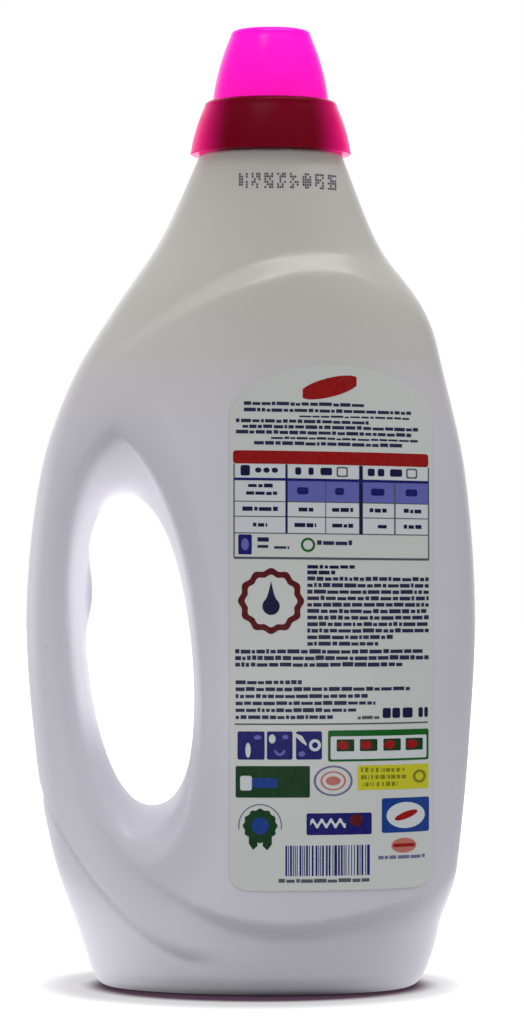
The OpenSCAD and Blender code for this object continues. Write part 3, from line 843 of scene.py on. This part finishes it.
class BOTTLE_OT_print(bpy.types.Operator):
    """Ink on the label, in plain bars, fields and simple shapes, and a dotted code on the neck"""

    bl_idname = "bottle.print"
    bl_label = "Print Label"

    # Each layer of ink lies this much further out, and no face is longer than a cell, in millimetres
    layer_lift = 0.02
    cell = 1.5

    def execute(self, context):
        self.sizes = context.scene.bottle_body
        self.dice = random.Random(11)
        self.clear()
        self.heading()
        self.table()
        self.emblem()
        self.paragraphs()
        self.icons()
        self.badges()
        self.barcode()
        obj = self.inked("label_print", self.placed())
        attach(obj, "bottle")
        self.clear()
        self.neck_code()
        obj = self.inked("neck_code", self.neck_placed())
        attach(obj, "bottle")
        return {"FINISHED"}

    def clear(self):
        """Starts a new mesh of ink."""
        self.points, self.lifts, self.faces, self.tones = [], [], [], []

    # Shapes, all in millimetres from the label's lower left corner

    def add(self, points, faces, tone, layer):
        """Faces of one ink at one layer."""
        start = len(self.points)
        self.points += points
        self.lifts += [layer] * len(points)
        self.faces += [tuple(start + i for i in face) for face in faces]
        self.tones += [tone] * len(faces)

    def strip(self, columns, tone, layer=0):
        """A patch given by its columns: (across, lowest, highest)."""
        tallest = max(high - low for _, low, high in columns)
        rows = max(1, math.ceil(tallest / self.cell))
        n = rows + 1
        points = [(u, low + (high - low) * k / rows) for u, low, high in columns for k in range(n)]
        faces = [(i * n + k, (i + 1) * n + k, (i + 1) * n + k + 1, i * n + k + 1)
                 for i in range(len(columns) - 1) for k in range(rows)]
        self.add(points, faces, tone, layer)

    def box(self, left, bottom, right, top, tone, layer=0, corner=0.0):
        """A rectangle, with rounded corners if corner isn't 0."""
        steps = max(1, math.ceil((right - left - 2 * corner) / self.cell))
        across = [left + corner + (right - left - 2 * corner) * i / steps for i in range(steps + 1)]
        columns = [(u, bottom, top) for u in across]
        if corner:
            starts = [(left, bottom + corner, top - corner)]
            for i in (4, 3, 2, 1):
                a = math.pi / 2 * i / 5
                cut = corner * (1 - math.cos(a))
                starts.append((left + corner * (1 - math.sin(a)), bottom + cut, top - cut))
            finish = [(right - (u - left), low, high) for u, low, high in reversed(starts)]
            columns = starts + columns + finish
        self.strip(columns, tone, layer)

    def oval(self, u, v, half_width, half_height, tone, layer=0, lean=0.0):
        """An ellipse; lean slides it sideways with height."""
        count = max(10, math.ceil(half_width * 4))
        columns = []
        for i in range(count + 1):
            a = math.pi * i / count
            reach = half_height * math.sin(a)
            place = u - half_width * math.cos(a)
            rise = lean * (place - u)
            columns.append((place, v - reach + rise, v + reach + rise))
        self.strip(columns, tone, layer)

    def ring(self, u, v, outer, inner, tone, layer=0, lobes=0, depth=0.0, squash=1.0, arc=(0, 360)):
        """A ring, or part of one, whose outline may be scalloped."""
        count = 96 if lobes else 48
        start, end = (math.radians(a) for a in arc)
        points = []
        for i in range(count + 1):
            a = start + (end - start) * i / count
            wave = 1 + depth * math.cos(lobes * a)
            for radius in (inner, outer):
                reach = radius * wave
                points.append((u + math.cos(a) * reach, v + math.sin(a) * reach * squash))
        faces = [(2 * i, 2 * i + 1, 2 * i + 3, 2 * i + 2) for i in range(count)]
        self.add(points, faces, tone, layer)

    def text_row(self, left, right, v, height=0.85, tone="text"):
        """Bars of word length that stand for a line of small print."""
        u, shortest = left, 0.4
        while u < right - shortest:
            word = min(self.dice.uniform(0.7, 3.4), right - u)
            low = v - height / 2 + self.dice.uniform(-0.05, 0.05)
            high = low + height * self.dice.uniform(0.85, 1.15)
            self.box(u, low, u + word, high, tone, 1)
            u += word + self.dice.uniform(0.28, 0.42)

    def text_block(self, left, right, top, pitch, widths, height):
        """Lines of small print, each as wide as its share of the block."""
        for i, share in enumerate(widths):
            self.text_row(left, left + (right - left) * share, top - i * pitch, height)

    # Parts of the print, from the top down

    def heading(self):
        """A red brush stroke and the lines under it."""
        columns = []
        start, length, foot, rise, count = 19.4, 14.4, 132.2, 3.6, 28
        for i in range(count + 1):
            t = i / count
            middle = foot + rise * t
            half = 2.6 * math.sin(math.pi * (0.03 + 0.94 * t)) ** 0.35
            columns.append((start + length * t, middle - half, middle + half))
        self.strip(columns, "red", 1)
        self.text_row(3.8, 36, 129.4)
        self.text_row(3.8, 48.5, 127.7)
        self.text_row(18.5, 48, 126.2, 0.5)
        self.text_row(1.7, 37, 124.8)
        self.text_row(3.4, 50.4, 123.3)
        self.text_row(1.7, 48.5, 121.8)
        self.text_row(11, 50.4, 120.3, 0.55)
        self.text_row(6.5, 46, 118.9)

    def table(self):
        """Dosing table: a red heading, five columns and five rows."""
        left, right = 1.2, 53.2
        columns = (15.1, 25.5, 34.9, 44.0)
        rows = (109.3, 103.4, 99.4, 95.0)
        foot, top = 88.4, 113.3
        self.box(left - 0.3, top + 0.1, right, top + 3.6, "red", 1, 0.8)
        self.box(left, rows[0], right, top, "white")
        self.box(columns[0], rows[1], right, rows[0] - 0.3, "violet")
        for low, high in ((rows[2], rows[1]), (rows[3], rows[2])):
            self.box(left, low, right, high, "white")
        self.box(left, rows[1], columns[0], rows[0], "white")
        for u, width, low, high, tone in (
            (left, 0.35, foot, top, "rule"), (right, 0.35, foot, top, "rule"),
            (columns[0], 0.6, rows[3], top, "bold"), (columns[1], 0.25, rows[3], rows[0], "rule"),
            (columns[2], 1.0, rows[3], top, "bold"), (columns[3], 0.4, rows[3], rows[0], "rule"),
        ):
            self.box(u - width / 2, low, u + width / 2, high, tone, 1)
        self.box(left, rows[0] - 0.35, right, rows[0] + 0.35, "navy", 2)
        for v in (rows[1], rows[2], rows[3]):
            self.box(left, v - 0.13, right, v + 0.13, "rule", 1)
        self.box(left, foot - 0.3, right, foot + 0.3, "rule", 1)
        # Heading cells
        self.box(2.9, 110.2, 5.4, 113.0, "bold", 1, 0.5)
        for u in (7.6, 9.8, 12.0):
            self.oval(u, 111.7, 0.85, 0.7, "bold", 1)
        for u1, u2 in (
            (17.4, 19.0), (20.9, 22.3), (24.1, 27.2), (36.7, 38.6), (39.4, 41.2), (42.7, 46.0),
        ):
            self.box(u1, 110.6, u2, 112.6, "bold", 1, 0.5)
        for u in (29.9, 48.6):
            self.box(u - 1.5, 110.2, u + 1.5, 112.9, "rule", 1, 0.5)
            self.box(u - 1.1, 110.6, u + 1.1, 112.5, "white", 2, 0.4)
        # Body cells
        for u, width in ((17.9, 3.0), (28.0, 2.4), (37.6, 3.6), (46.9, 3.2)):
            self.box(u, 105.4, u + width, 107.3, "navy", 1, 0.6)
        self.text_row(4.9, 11.8, 107.6, 0.9, "bold")
        self.text_row(4.4, 12.6, 105.6, 0.9, "bold")
        for v, cells in (
            (101.4, ((3.4, 12.8), (18.3, 22.8), (27.2, 32.8), (37.2, 41.8), (46.4, 51.2))),
            (97.2, ((6.2, 10.0), (17.2, 23.0), (27.2, 32.8), (39.4, 41.8), (46.4, 51.6))),
        ):
            for u1, u2 in cells:
                self.text_row(u1, u2, v, 1.0, "bold")
        self.box(2.3, 89.3, 5.9, 94.6, "navy", 1, 0.4)
        self.oval(4.1, 92.0, 1.0, 1.6, "violet", 2)
        self.text_row(7.4, 10.4, 93.2, 1.0, "bold")
        self.text_row(7.4, 10.4, 91.5, 0.8)
        self.text_row(11.8, 15.8, 91.2, 0.7)
        self.ring(20.8, 92.0, 1.9, 1.3, "green", 1)
        self.text_row(23.2, 32.5, 92.6, 1.1)

    def emblem(self):
        """A scalloped ring with a drop of liquid in it."""
        u, v = 11.0, 77.0
        self.ring(u, v, 8.4, 6.7, "maroon", 1, 12, 0.045)
        belly, point, count = 2.3, 4.4, 20
        low = v - 1.4
        columns = []
        for i in range(count + 1):
            a = math.pi * i / count
            reach = belly * math.sin(a)
            crown = reach + point * max(0.0, 1 - abs(math.cos(a)) / 0.62) ** 1.6
            columns.append((u - belly * math.cos(a), low - reach, low + crown))
        self.strip(columns, "bold", 1)

    def paragraphs(self):
        """The blocks of small print beside and under the emblem."""
        self.text_row(20.6, 33.2, 86.2, 0.9, "bold")
        self.text_row(20.6, 28.0, 84.6, 0.9, "bold")
        beside = (1, 1, 1, 1, 1, 0.98, 1, 0.99, 1, 0.7, 0.58)
        self.text_block(20.6, 53.2, 83.0, 1.73, beside, 1.0)
        self.text_block(1.5, 53.2, 63.6, 1.75, (0.98, 1, 0.86), 1.05)
        self.text_block(1.6, 53.2, 55.4, 1.85, (0.34, 0.9, 0.68, 0.72, 0.62, 0.5), 0.95)
        self.text_row(34.0, 39.8, 45.9, 0.8, "rule")
        for u1, u2 in ((40.7, 42.9), (43.3, 45.4), (46.1, 48.8), (50.4, 51.6), (52.0, 53.0)):
            self.box(u1, 45.7, u2, 48.4, "bold", 1, 0.5)
        self.box(1.4, 44.1, 53.0, 44.5, "rule", 1)

    def icons(self):
        """Three blue care squares, and a green frame with four chips."""
        for i, (u1, u2) in enumerate(((2.1, 9.3), (9.9, 16.7), (17.6, 24.5))):
            self.box(u1, 34.9, u2, 42.4, "navy", 1, 0.5)
            middle = (u1 + u2) / 2
            if i == 0:
                self.oval(middle - 0.8, 37.4, 0.7, 2.0, "white", 2)
                self.oval(middle + 1.7, 40.8, 1.0, 0.6, "violet", 2)
            elif i == 1:
                self.oval(middle - 2.0, 40.4, 0.9, 1.2, "white", 2)
                self.oval(middle + 1.5, 40.9, 0.8, 0.6, "violet", 2)
                self.ring(middle, 37.4, 1.5, 0.8, "violet", 2, arc=(180, 360))
            else:
                self.strip([(u1, 40.9, 41.8), (u1 + 1.6, 39.4, 41.2), (u1 + 2.8, 38.6, 39.2)], "white", 2)
                self.ring(middle + 1.6, 38.7, 1.6, 0.8, "white", 2)
                self.oval(middle - 1.9, 36.4, 0.9, 0.7, "violet", 2)
        self.box(26.1, 34.3, 53.2, 42.6, "green", 1, 0.6)
        self.box(26.8, 34.9, 52.6, 41.0, "white", 2, 0.4)
        for u in (28.4, 34.6, 40.9, 46.9):
            self.box(u, 37.0, u + 4.7, 40.2, "forest", 3, 0.3)
            self.oval(u + 1.7, 38.6, 1.5, 1.2, "red", 4)
        self.text_row(34.0, 47.5, 35.8, 0.4, "mauve")

    def badges(self):
        """Coloured fields and seals in the label's lower part."""
        self.box(1.6, 24.8, 21.3, 33.2, "forest", 1, 0.4)
        self.box(2.8, 26.7, 5.9, 30.6, "white", 2, 0.6)
        self.box(5.9, 27.4, 12.7, 30.0, "blue", 2, 0.8)
        self.ring(27.5, 29.2, 5.2, 4.6, "mauve", 1, squash=0.78)
        self.ring(27.5, 29.2, 3.4, 2.9, "salmon", 1, squash=0.75)
        self.oval(27.5, 29.2, 2.0, 1.2, "salmon", 1)
        self.box(34.0, 26.6, 53.2, 33.2, "yellow", 1, 0.4)
        for i, (u1, u2) in enumerate(((34.9, 46.6), (34.9, 47.0), (35.4, 45.4))):
            self.text_row(u1, u2, 31.9 - 1.9 * i, 1.1, "olive")
        self.ring(50.7, 29.9, 1.8, 1.1, "olive", 2)
        # Rosette with two ribbon ends
        self.strip([(5.1, 12.6, 14.4), (6.2, 10.9, 14.2), (7.4, 11.9, 14.0)], "forest", 1)
        self.strip([(8.8, 11.9, 14.0), (10.0, 10.8, 14.2), (11.2, 12.4, 14.4)], "forest", 1)
        self.ring(8.1, 17.3, 4.4, 2.2, "forest", 2, 12, 0.05)
        self.oval(8.1, 17.3, 2.3, 2.3, "blue", 3)
        self.ring(8.1, 17.3, 5.8, 5.5, "mauve", 1, arc=(-10, 190))
        # Violet field with a pale wave
        self.box(20.4, 14.8, 37.8, 20.6, "navy", 1, 0.5)
        columns = []
        for i in range(28):
            swing = 0.8 * math.sin(0.9 * i)
            columns.append((21.4 + 0.35 * i, 17.3 + swing, 18.5 + swing))
        self.strip(columns, "white", 2)
        self.oval(33.6, 18.6, 1.7, 1.6, "maroon", 2)
        # Blue field with a pale oval and a slanted bar
        self.box(40.5, 15.0, 53.4, 24.3, "blue", 1, 0.6)
        self.oval(47.0, 19.6, 5.2, 3.5, "white", 2)
        self.oval(47.1, 19.6, 3.1, 1.0, "red", 3, 0.32)
        self.oval(46.5, 11.5, 3.4, 2.0, "salmon", 1)
        self.box(43.6, 11.1, 49.5, 12.0, "red", 2, 0.4)
        self.text_row(39.6, 52.5, 8.4, 0.9, "mauve")

    def barcode(self):
        """Upright bars of uneven width on a white field."""
        left, right, low, high = 14.8, 37.8, 3.9, 12.0
        self.box(left - 0.4, low - 0.3, right + 0.4, high + 0.2, "white")
        u = left
        while u < right - 0.2:
            width = min(self.dice.choice((0.25, 0.25, 0.5, 0.75)), right - u)
            self.box(u, low, u + width, high, "navy", 1)
            u += width + self.dice.choice((0.25, 0.25, 0.5))
        self.text_row(left - 1.8, right - 0.4, 2.6, 0.9, "rule")

    def neck_code(self):
        """Eight marks of random ink dots, in millimetres from the neck axis and the shoulder."""
        marks, columns, rows, filled = 8, 4, 6, 0.62
        left, low = -8.6, -9.6
        for mark in range(marks):
            for column in range(columns):
                for row in range(rows):
                    if self.dice.random() < filled:
                        u = left + 3.42 * mark + 0.62 * column
                        v = low + 0.72 * row
                        self.box(u, v, u + 0.5, v + 0.58, "rule")

    # Onto the bottle

    def placed(self):
        """The print's points on the film."""
        label = BOTTLE_OT_label
        u, v = np.array(self.points).T
        # The print hangs a little lower towards the right in the label's upper half
        droop = 0.95 * np.clip(u / (label.right - label.left), 0, 1) ** 1.3 * smooth_step((v - 40) / 80)
        lift = label.film_gap + label.film + (1 + np.array(self.lifts)) * self.layer_lift
        return front_points(label.left + u, label.bottom + v - droop, lift, self.sizes)

    def neck_placed(self):
        """The code's points on the neck cone."""
        u, v = np.array(self.points).T
        return front_points(NECK_X + u, BODY_TOP + v, self.layer_lift, self.sizes)

    def inked(self, name, points):
        """A mesh object with one material for each ink it uses."""
        tones = sorted(set(self.tones))
        inks = [ink(tone + " ink", INKS[tone]) for tone in tones]
        obj = mesh_object(name, points, self.faces, inks)
        obj.data.polygons.foreach_set("material_index", [tones.index(tone) for tone in self.tones])
        return obj


class BOTTLE_OT_collar(bpy.types.Operator):
    """Pouring collar with its threaded sleeve and spout"""

    bl_idname = "bottle.collar"
    bl_label = "Make Collar"

    def execute(self, context):
        closure = context.scene.bottle_closure
        foot, top, seat = BODY_TOP, BODY_TOP + 15.8, CAP_SEAT
        hem, floor = foot + COLLAR_LIFT, foot + 1.0
        # Radii: the visible side and its rounded top edge, then the sleeve, the tray and the snap groove
        hem_radius, side_radius, waist, shoulder, edge_round = 22.0, 21.9, 21.0, 18.2, 1.6
        mouth, bore, sleeve, tray, neck, groove = 16.3, 14.95, 16.1, 8.85, 17.8, 18.3
        side = [
            ((1 - t) ** 2 * side_radius + 2 * t * (1 - t) * waist + t * t * shoulder,
             hem + 0.6 + t * (top - hem - 2.2))
            for t in np.linspace(0, 1, 15)]
        edge = [
            (shoulder + edge_round * (math.cos(a) - 1), top + edge_round * (math.sin(a) - 1))
            for a in np.linspace(0, math.pi / 2, 7)]
        profile = (
            [(neck, hem), (hem_radius - 0.3, hem), (hem_radius, hem + 0.3)] + side + edge[1:]
            + [(mouth, seat + 0.4), (mouth - 0.05, seat), (bore + 0.05, seat), (bore, floor),
               (tray, floor - 2.5), (tray, floor - 3.7), (sleeve, floor - 1.2), (sleeve, foot + 10.1),
               (neck, foot + 10.1), (neck, foot + 5.5), (groove, foot + 5.05), (groove, foot + 3.95),
               (neck, foot + 3.5)])
        parts = [turned(profile, closure.segments, NECK_AXIS), self.spout(floor - 3.7)]
        for start in range(2):
            parts.append(helical_ridge(
                bore, closure.thread_depth / MM, 1.6, foot + 6.0, foot + 13.2,
                closure.thread_lead / MM, start * math.pi, True, NECK_AXIS))
        colour = context.scene.bottle_finish.collar
        material, tree, shader = tinted_plastic("crimson polypropylene", colour, 0.27, 0.0, 0.1)
        self.painted_side_glow(tree, shader)
        obj = mesh_object("pouring_collar", *joined(*parts), [material])
        weld(obj)
        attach(obj, "bottle")
        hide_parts("spout_collar")
        return {"FINISHED"}

    def painted_side_glow(self, tree, shader):
        """Painted glow: emission that grows towards the collar's sides and back, standing in for light
        that comes through tinted plastic.
        """
        axes = split(tree, object_space(tree))
        aside = arithmetic(tree, "ABSOLUTE", arithmetic(tree, "SUBTRACT", axes["X"], NECK_X * MM))
        place = arithmetic(tree, "ADD", aside, arithmetic(tree, "MULTIPLY", axes["Y"], 0.4))
        strength = ranged(tree, place, (0.004, 0.021), (0.0, 0.85))
        tree.links.new(strength, shader.inputs["Emission Strength"])
        shader.inputs["Emission Color"].default_value = (1.0, 0.003, 0.26, 1.0)

    def spout(self, low):
        """Spout with a slanted, rounded lip and a drain slot at its back."""
        radius, bore, slot_half = 9.4, 8.3, 2.5
        lip, back = BODY_TOP + 25.0, BODY_TOP + 11.0
        gap = math.asin(slot_half / radius)
        columns, rows = 96, 24
        points = []
        for i in range(columns + 1):
            angle = -math.pi + gap + (2 * math.pi - 2 * gap) * i / columns
            c, s = math.cos(angle), math.sin(angle)
            high = back + (lip - back) * (1 + c) / 2
            straight = high - 0.5
            ring = [(radius, low + (straight - low) * k / rows) for k in range(rows + 1)]
            ring += [(radius - 0.25, high - 0.08), (radius - 0.55, high), (bore + 0.25, high - 0.08)]
            ring += [(bore, straight - (straight - low) * k / rows) for k in range(rows + 1)]
            points += [(NECK_X + r * c, r * s, z) for r, z in ring]
        n = len(ring)
        faces = [(i * n + k, (i + 1) * n + k, (i + 1) * n + (k + 1) % n, i * n + (k + 1) % n)
                 for i in range(columns) for k in range(n)]
        faces.append(tuple(range(n)))
        faces.append(tuple(columns * n + k for k in reversed(range(n))))
        return points, faces


class BOTTLE_OT_cap(bpy.types.Operator):
    """Dosing cap with its threaded skirt, and the seal ring's finish"""

    bl_idname = "bottle.cap"
    bl_label = "Make Cap"

    def execute(self, context):
        closure = context.scene.bottle_closure
        skirt_low, edge_z, top = CAP_LOW[2], CAP_SEAT + 0.8, CAP_HIGH[2]
        wall, skirt_bore, skirt_radius = 1.2, 13.4, 14.6
        foot_radius, taper, belly = 15.9, 4.9, 3.2
        edge_round, crown_radius, crown_rise = 1.6, 9.4, 0.7
        side_height = top - edge_z - 2.3
        inner_top = top - 1.9

        def side_radius(t):
            """Radius of the cup's side at a share of its height."""
            return foot_radius - taper * t + belly * t * (1 - t)

        side = [(foot_radius - 0.3, edge_z), (foot_radius, edge_z + 0.25)]
        side += [(side_radius(t), edge_z + side_height * t) for t in np.linspace(0, 1, 21)[1:]]
        edge = [
            (crown_radius + edge_round * math.cos(a), edge_z + side_height + edge_round * math.sin(a))
            for a in np.linspace(0, math.pi / 2, 8)]
        crown = [(crown_radius * (1 - t), top - crown_rise * (1 - t) ** 2) for t in np.linspace(0, 1, 9)]
        inside = [
            (min(skirt_bore, side_radius(t) - wall), edge_z + (inner_top - 1 - edge_z) * t)
            for t in np.linspace(1, 0, 14)]
        skirt = [
            (skirt_bore, skirt_low + 0.3), (skirt_bore + 0.3, skirt_low),
            (skirt_radius - 0.25, skirt_low), (skirt_radius, skirt_low + 0.3), (skirt_radius, edge_z)]
        ceiling = [(0.0, inner_top), (8.8, inner_top), (9.6, inner_top - 0.3)]
        profile = skirt + side + edge[1:] + crown[1:] + ceiling + inside
        parts = [turned(profile, closure.segments, NECK_AXIS)]
        half_pitch = math.pi / 2
        for start in range(2):
            parts.append(helical_ridge(
                skirt_radius, closure.thread_depth / MM * 0.6, 1.4, skirt_low + 1.2, edge_z - 1.6,
                closure.thread_lead / MM, start * math.pi + half_pitch, False, NECK_AXIS))
        colour = context.scene.bottle_finish.cap
        material, tree, shader = tinted_plastic("magenta polypropylene", colour, 0.24, 0.3, 0.2)
        # Painted glow: emission that stands in for light coming through the plastic, bluer towards the
        # top
        shader.inputs["Emission Strength"].default_value = 0.3
        height = split(tree, object_space(tree))["Z"]
        rise = ranged(tree, height, (edge_z * MM, top * MM), (0.0, 1.0), "LINEAR")
        glow = blended(tree, rise, (0.96, 0.002, 0.50, 1.0), (0.96, 0.004, 0.85, 1.0))
        tree.links.new(glow, shader.inputs["Emission Color"])
        obj = mesh_object("dosing_cup", *joined(*parts), [material])
        weld(obj)
        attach(obj, "cap")
        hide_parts("dosing_cap")
        foam, tree, shader = new_material("foam seal", (0.75, 0.74, 0.75), 0.7)
        bump(tree, shader, noise_between(tree, object_space(tree), 2500.0, 0.0, 1.0), 0.00005)
        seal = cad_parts["seal_ring"]
        seal.data.materials.clear()
        seal.data.materials.append(foam)
        return {"FINISHED"}


class BOTTLE_OT_stage(bpy.types.Operator):
    """Floor, room light, lamps and camera"""

    bl_idname = "bottle.stage"
    bl_label = "Make Stage"

    def execute(self, context):
        stage = context.scene.bottle_stage
        self.floor(stage)
        self.room(context, stage)
        self.lamp("overhead", (0.25, -0.4, 1.5), (0, 0, 0.15), (1.8, 0.3), stage.overhead)
        self.lamp("left_rim", (-0.8, 0.3, 0.1), (0, 0, 0.08), (0.4, 0.4), stage.rim)
        self.lamp("low_fill", (0, -0.22, 0.06), (0, 0, 0.04), (0.3, 0.02), stage.fill)
        camera = bpy.data.objects.new("camera", bpy.data.cameras.new("camera"))
        camera.data.sensor_fit = "AUTO"
        camera.data.sensor_width = 36.0
        camera.data.lens = stage.lens
        camera.data.clip_start = 0.05
        camera.location = (stage.aside, -stage.distance, stage.height)
        camera.rotation_euler = (math.pi / 2, 0, 0)
        context.scene.collection.objects.link(camera)
        context.scene.camera = camera
        context.scene.view_settings.view_transform = "Standard"
        return {"FINISHED"}

    def lamp(self, name, place, target, size, power):
        """A soft lamp that looks at a point."""
        light = bpy.data.lights.new(name, "AREA")
        light.shape = "RECTANGLE"
        light.size, light.size_y = size
        light.energy = power
        obj = bpy.data.objects.new(name, light)
        obj.location = place
        obj.rotation_euler = (Vector(target) - Vector(place)).to_track_quat("-Z", "Y").to_euler()
        obj.visible_camera = False
        bpy.context.scene.collection.objects.link(obj)

    def from_middle(self, tree, place, scale, shift=(0, 0, 0)):
        """Distance from the middle of an oval on the floor, 1 on its edge."""
        inputs = {0: place, 1: scale, 2: shift}
        scaled = added(tree, "ShaderNodeVectorMath", inputs, operation="MULTIPLY_ADD")
        inputs = {0: scaled.outputs["Vector"]}
        return added(tree, "ShaderNodeVectorMath", inputs, operation="LENGTH").outputs["Value"]

    def bounce(self, tree, place, stage):
        """What the floor throws back at the bottle: more behind and beside it, little right under it."""
        axes = split(tree, place)
        aside = arithmetic(tree, "ABSOLUTE", axes["X"])
        behind = arithmetic(tree, "ADD", arithmetic(tree, "MULTIPLY", aside, 0.9), axes["Y"])
        behind = arithmetic(tree, "ADD", behind, arithmetic(tree, "MULTIPLY", axes["X"], -0.2))
        level = ranged(tree, behind, (-0.03, 0.10), (stage.floor_front, stage.floor_side))
        level = arithmetic(tree, "MULTIPLY", level, ranged(tree, aside, (0.07, 0.2), (1.0, 0.4)))
        right_behind = arithmetic(
            tree, "MULTIPLY", ranged(tree, aside, (0.06, 0.16), (1.0, 0.0)),
            ranged(tree, axes["Y"], (0.02, 0.10), (0.0, stage.floor_back)))
        level = arithmetic(tree, "ADD", level, right_behind)
        # Painted shadow: the floor's light is dimmed round the base, where the bottle would shade it
        shade = ranged(tree, self.from_middle(tree, place, (0.8, 1, 0)), (0.027, 0.04), (0.1, 1.0))
        inputs = {"Color": (0.97, 0.95, 1.0, 1), "Strength": arithmetic(tree, "MULTIPLY", level, shade)}
        return added(tree, "ShaderNodeEmission", inputs).outputs["Emission"]

    def seen_floor(self, tree, place, stage):
        """The floor that the camera sees: white, with a painted dark line of shade under the base and a
        painted soft shadow.
        """
        line_width, line_depth = 0.0455, 0.035
        shadow_width, shadow_depth = 0.064, 0.054
        line = self.from_middle(tree, place, (1 / line_width, 1 / line_depth, 0), (-0.05, 0, 0))
        shadow = self.from_middle(tree, place, (1 / shadow_width, 1 / shadow_depth, 0))
        clear = arithmetic(
            tree, "MULTIPLY", ranged(tree, line, (0.92, 1.1), (0.03, 1.0)),
            ranged(tree, shadow, (0.75, 1.15), (0.42, 1.0)))
        # Painted shade: the floor's colour goes dark, with a magenta tint, in the line under the base
        colour = blended(tree, clear, (0.10, 0.04, 0.08, 1), (0.93, 0.95, 0.94, 1))
        white = added(tree, "ShaderNodeBsdfDiffuse", {"Color": colour})
        strength = arithmetic(tree, "MULTIPLY", clear, stage.floor_glow)
        glow = added(tree, "ShaderNodeEmission", {"Color": (0.96, 1.0, 0.98, 1), "Strength": strength})
        inputs = {0: white.outputs["BSDF"], 1: glow.outputs["Emission"]}
        return added(tree, "ShaderNodeAddShader", inputs).outputs["Shader"]

    def floor(self, stage):
        """A pale floor that the camera sees as white, apart from the bottle's shadow, partly real and
        partly painted.
        """
        half = 3000.0
        corners = [(-half, -half, 0), (half, -half, 0), (half, half, 0), (-half, half, 0)]
        material = bpy.data.materials.new("pale floor")
        material.use_nodes = True
        tree = material.node_tree
        tree.nodes.clear()
        place = object_space(tree)
        path = added(tree, "ShaderNodeLightPath")
        mix = added(tree, "ShaderNodeMixShader", {
            "Fac": path.outputs["Is Camera Ray"], 1: self.bounce(tree, place, stage),
            2: self.seen_floor(tree, place, stage)})
        added(tree, "ShaderNodeOutputMaterial", {"Surface": mix.outputs["Shader"]})
        obj = mesh_object("floor", corners, [(0, 1, 2, 3)], [material], smooth=False)

    def room(self, context, stage):
        """Even room light, white where the camera, a gloss or a clear piece sees past the bottle."""
        world = bpy.data.worlds.new("room")
        context.scene.world = world
        world.use_nodes = True
        tree = world.node_tree
        tree.nodes.clear()
        direction = added(tree, "ShaderNodeTexCoord")
        axes = split(tree, direction.outputs["Generated"])
        wide = arithmetic(tree, "MULTIPLY", arithmetic(tree, "ABSOLUTE", axes["X"]), -0.61)
        rightward = arithmetic(tree, "MULTIPLY", axes["X"], -0.23)
        backward = arithmetic(tree, "ADD", arithmetic(tree, "ADD", wide, rightward), axes["Y"])
        path = added(tree, "ShaderNodeLightPath")
        mixed = None
        for light, front, behind in (
            (None, stage.sky, stage.backdrop),
            ("Is Glossy Ray", stage.front_gloss, 1.0),
            ("Is Transmission Ray", 1.0, 1.0),
            ("Is Camera Ray", 1.0, 1.0),
        ):
            strength = ranged(tree, backward, (0.0, 0.85), (front, behind))
            inputs = {"Color": (1, 1, 1, 1), "Strength": strength}
            background = added(tree, "ShaderNodeBackground", inputs).outputs["Background"]
            if mixed is None:
                mixed = background
                continue
            inputs = {"Fac": path.outputs[light], 1: mixed, 2: background}
            mixed = added(tree, "ShaderNodeMixShader", inputs).outputs["Shader"]
        added(tree, "ShaderNodeOutputWorld", {"Surface": mixed})


class BOTTLE_PT_panel(bpy.types.Panel):
    """Lists the bottle's pieces"""

    bl_idname = "BOTTLE_PT_panel"
    bl_label = "Detergent Bottle"
    bl_space_type = "VIEW_3D"
    bl_region_type = "UI"
    bl_category = "Bottle"

    def draw(self, context):
        for piece in OPERATORS:
            self.layout.operator(piece.bl_idname)
        for group in GROUPS:
            settings = getattr(context.scene, group)
            for name in settings.bl_rna.properties.keys():
                if name not in {"rna_type", "name"}:
                    self.layout.prop(settings, name)


GROUPS = {
    "bottle_body": BodySizes,
    "bottle_closure": ClosureSizes,
    "bottle_finish": Finishes,
    "bottle_stage": StageSizes,
}
OPERATORS = (
    BOTTLE_OT_stage, BOTTLE_OT_body, BOTTLE_OT_label, BOTTLE_OT_print, BOTTLE_OT_collar, BOTTLE_OT_cap)
CLASSES = (*GROUPS.values(), *OPERATORS, BOTTLE_PT_panel)


def register():
    """Adds the settings, the operators and the panel to Blender."""
    for cls in CLASSES:
        bpy.utils.register_class(cls)
    for name, group in GROUPS.items():
        setattr(bpy.types.Scene, name, PointerProperty(type=group))


def unregister():
    """Takes them out again."""
    for name in GROUPS:
        delattr(bpy.types.Scene, name)
    for cls in reversed(CLASSES):
        bpy.utils.unregister_class(cls)


def main():
    """Makes the stage and every piece in order."""
    register()
    bpy.ops.bottle.stage()
    bpy.ops.bottle.body()
    bpy.ops.bottle.label()
    bpy.ops.bottle.print()
    bpy.ops.bottle.collar()
    bpy.ops.bottle.cap()


if __name__ == "__main__":
    main()
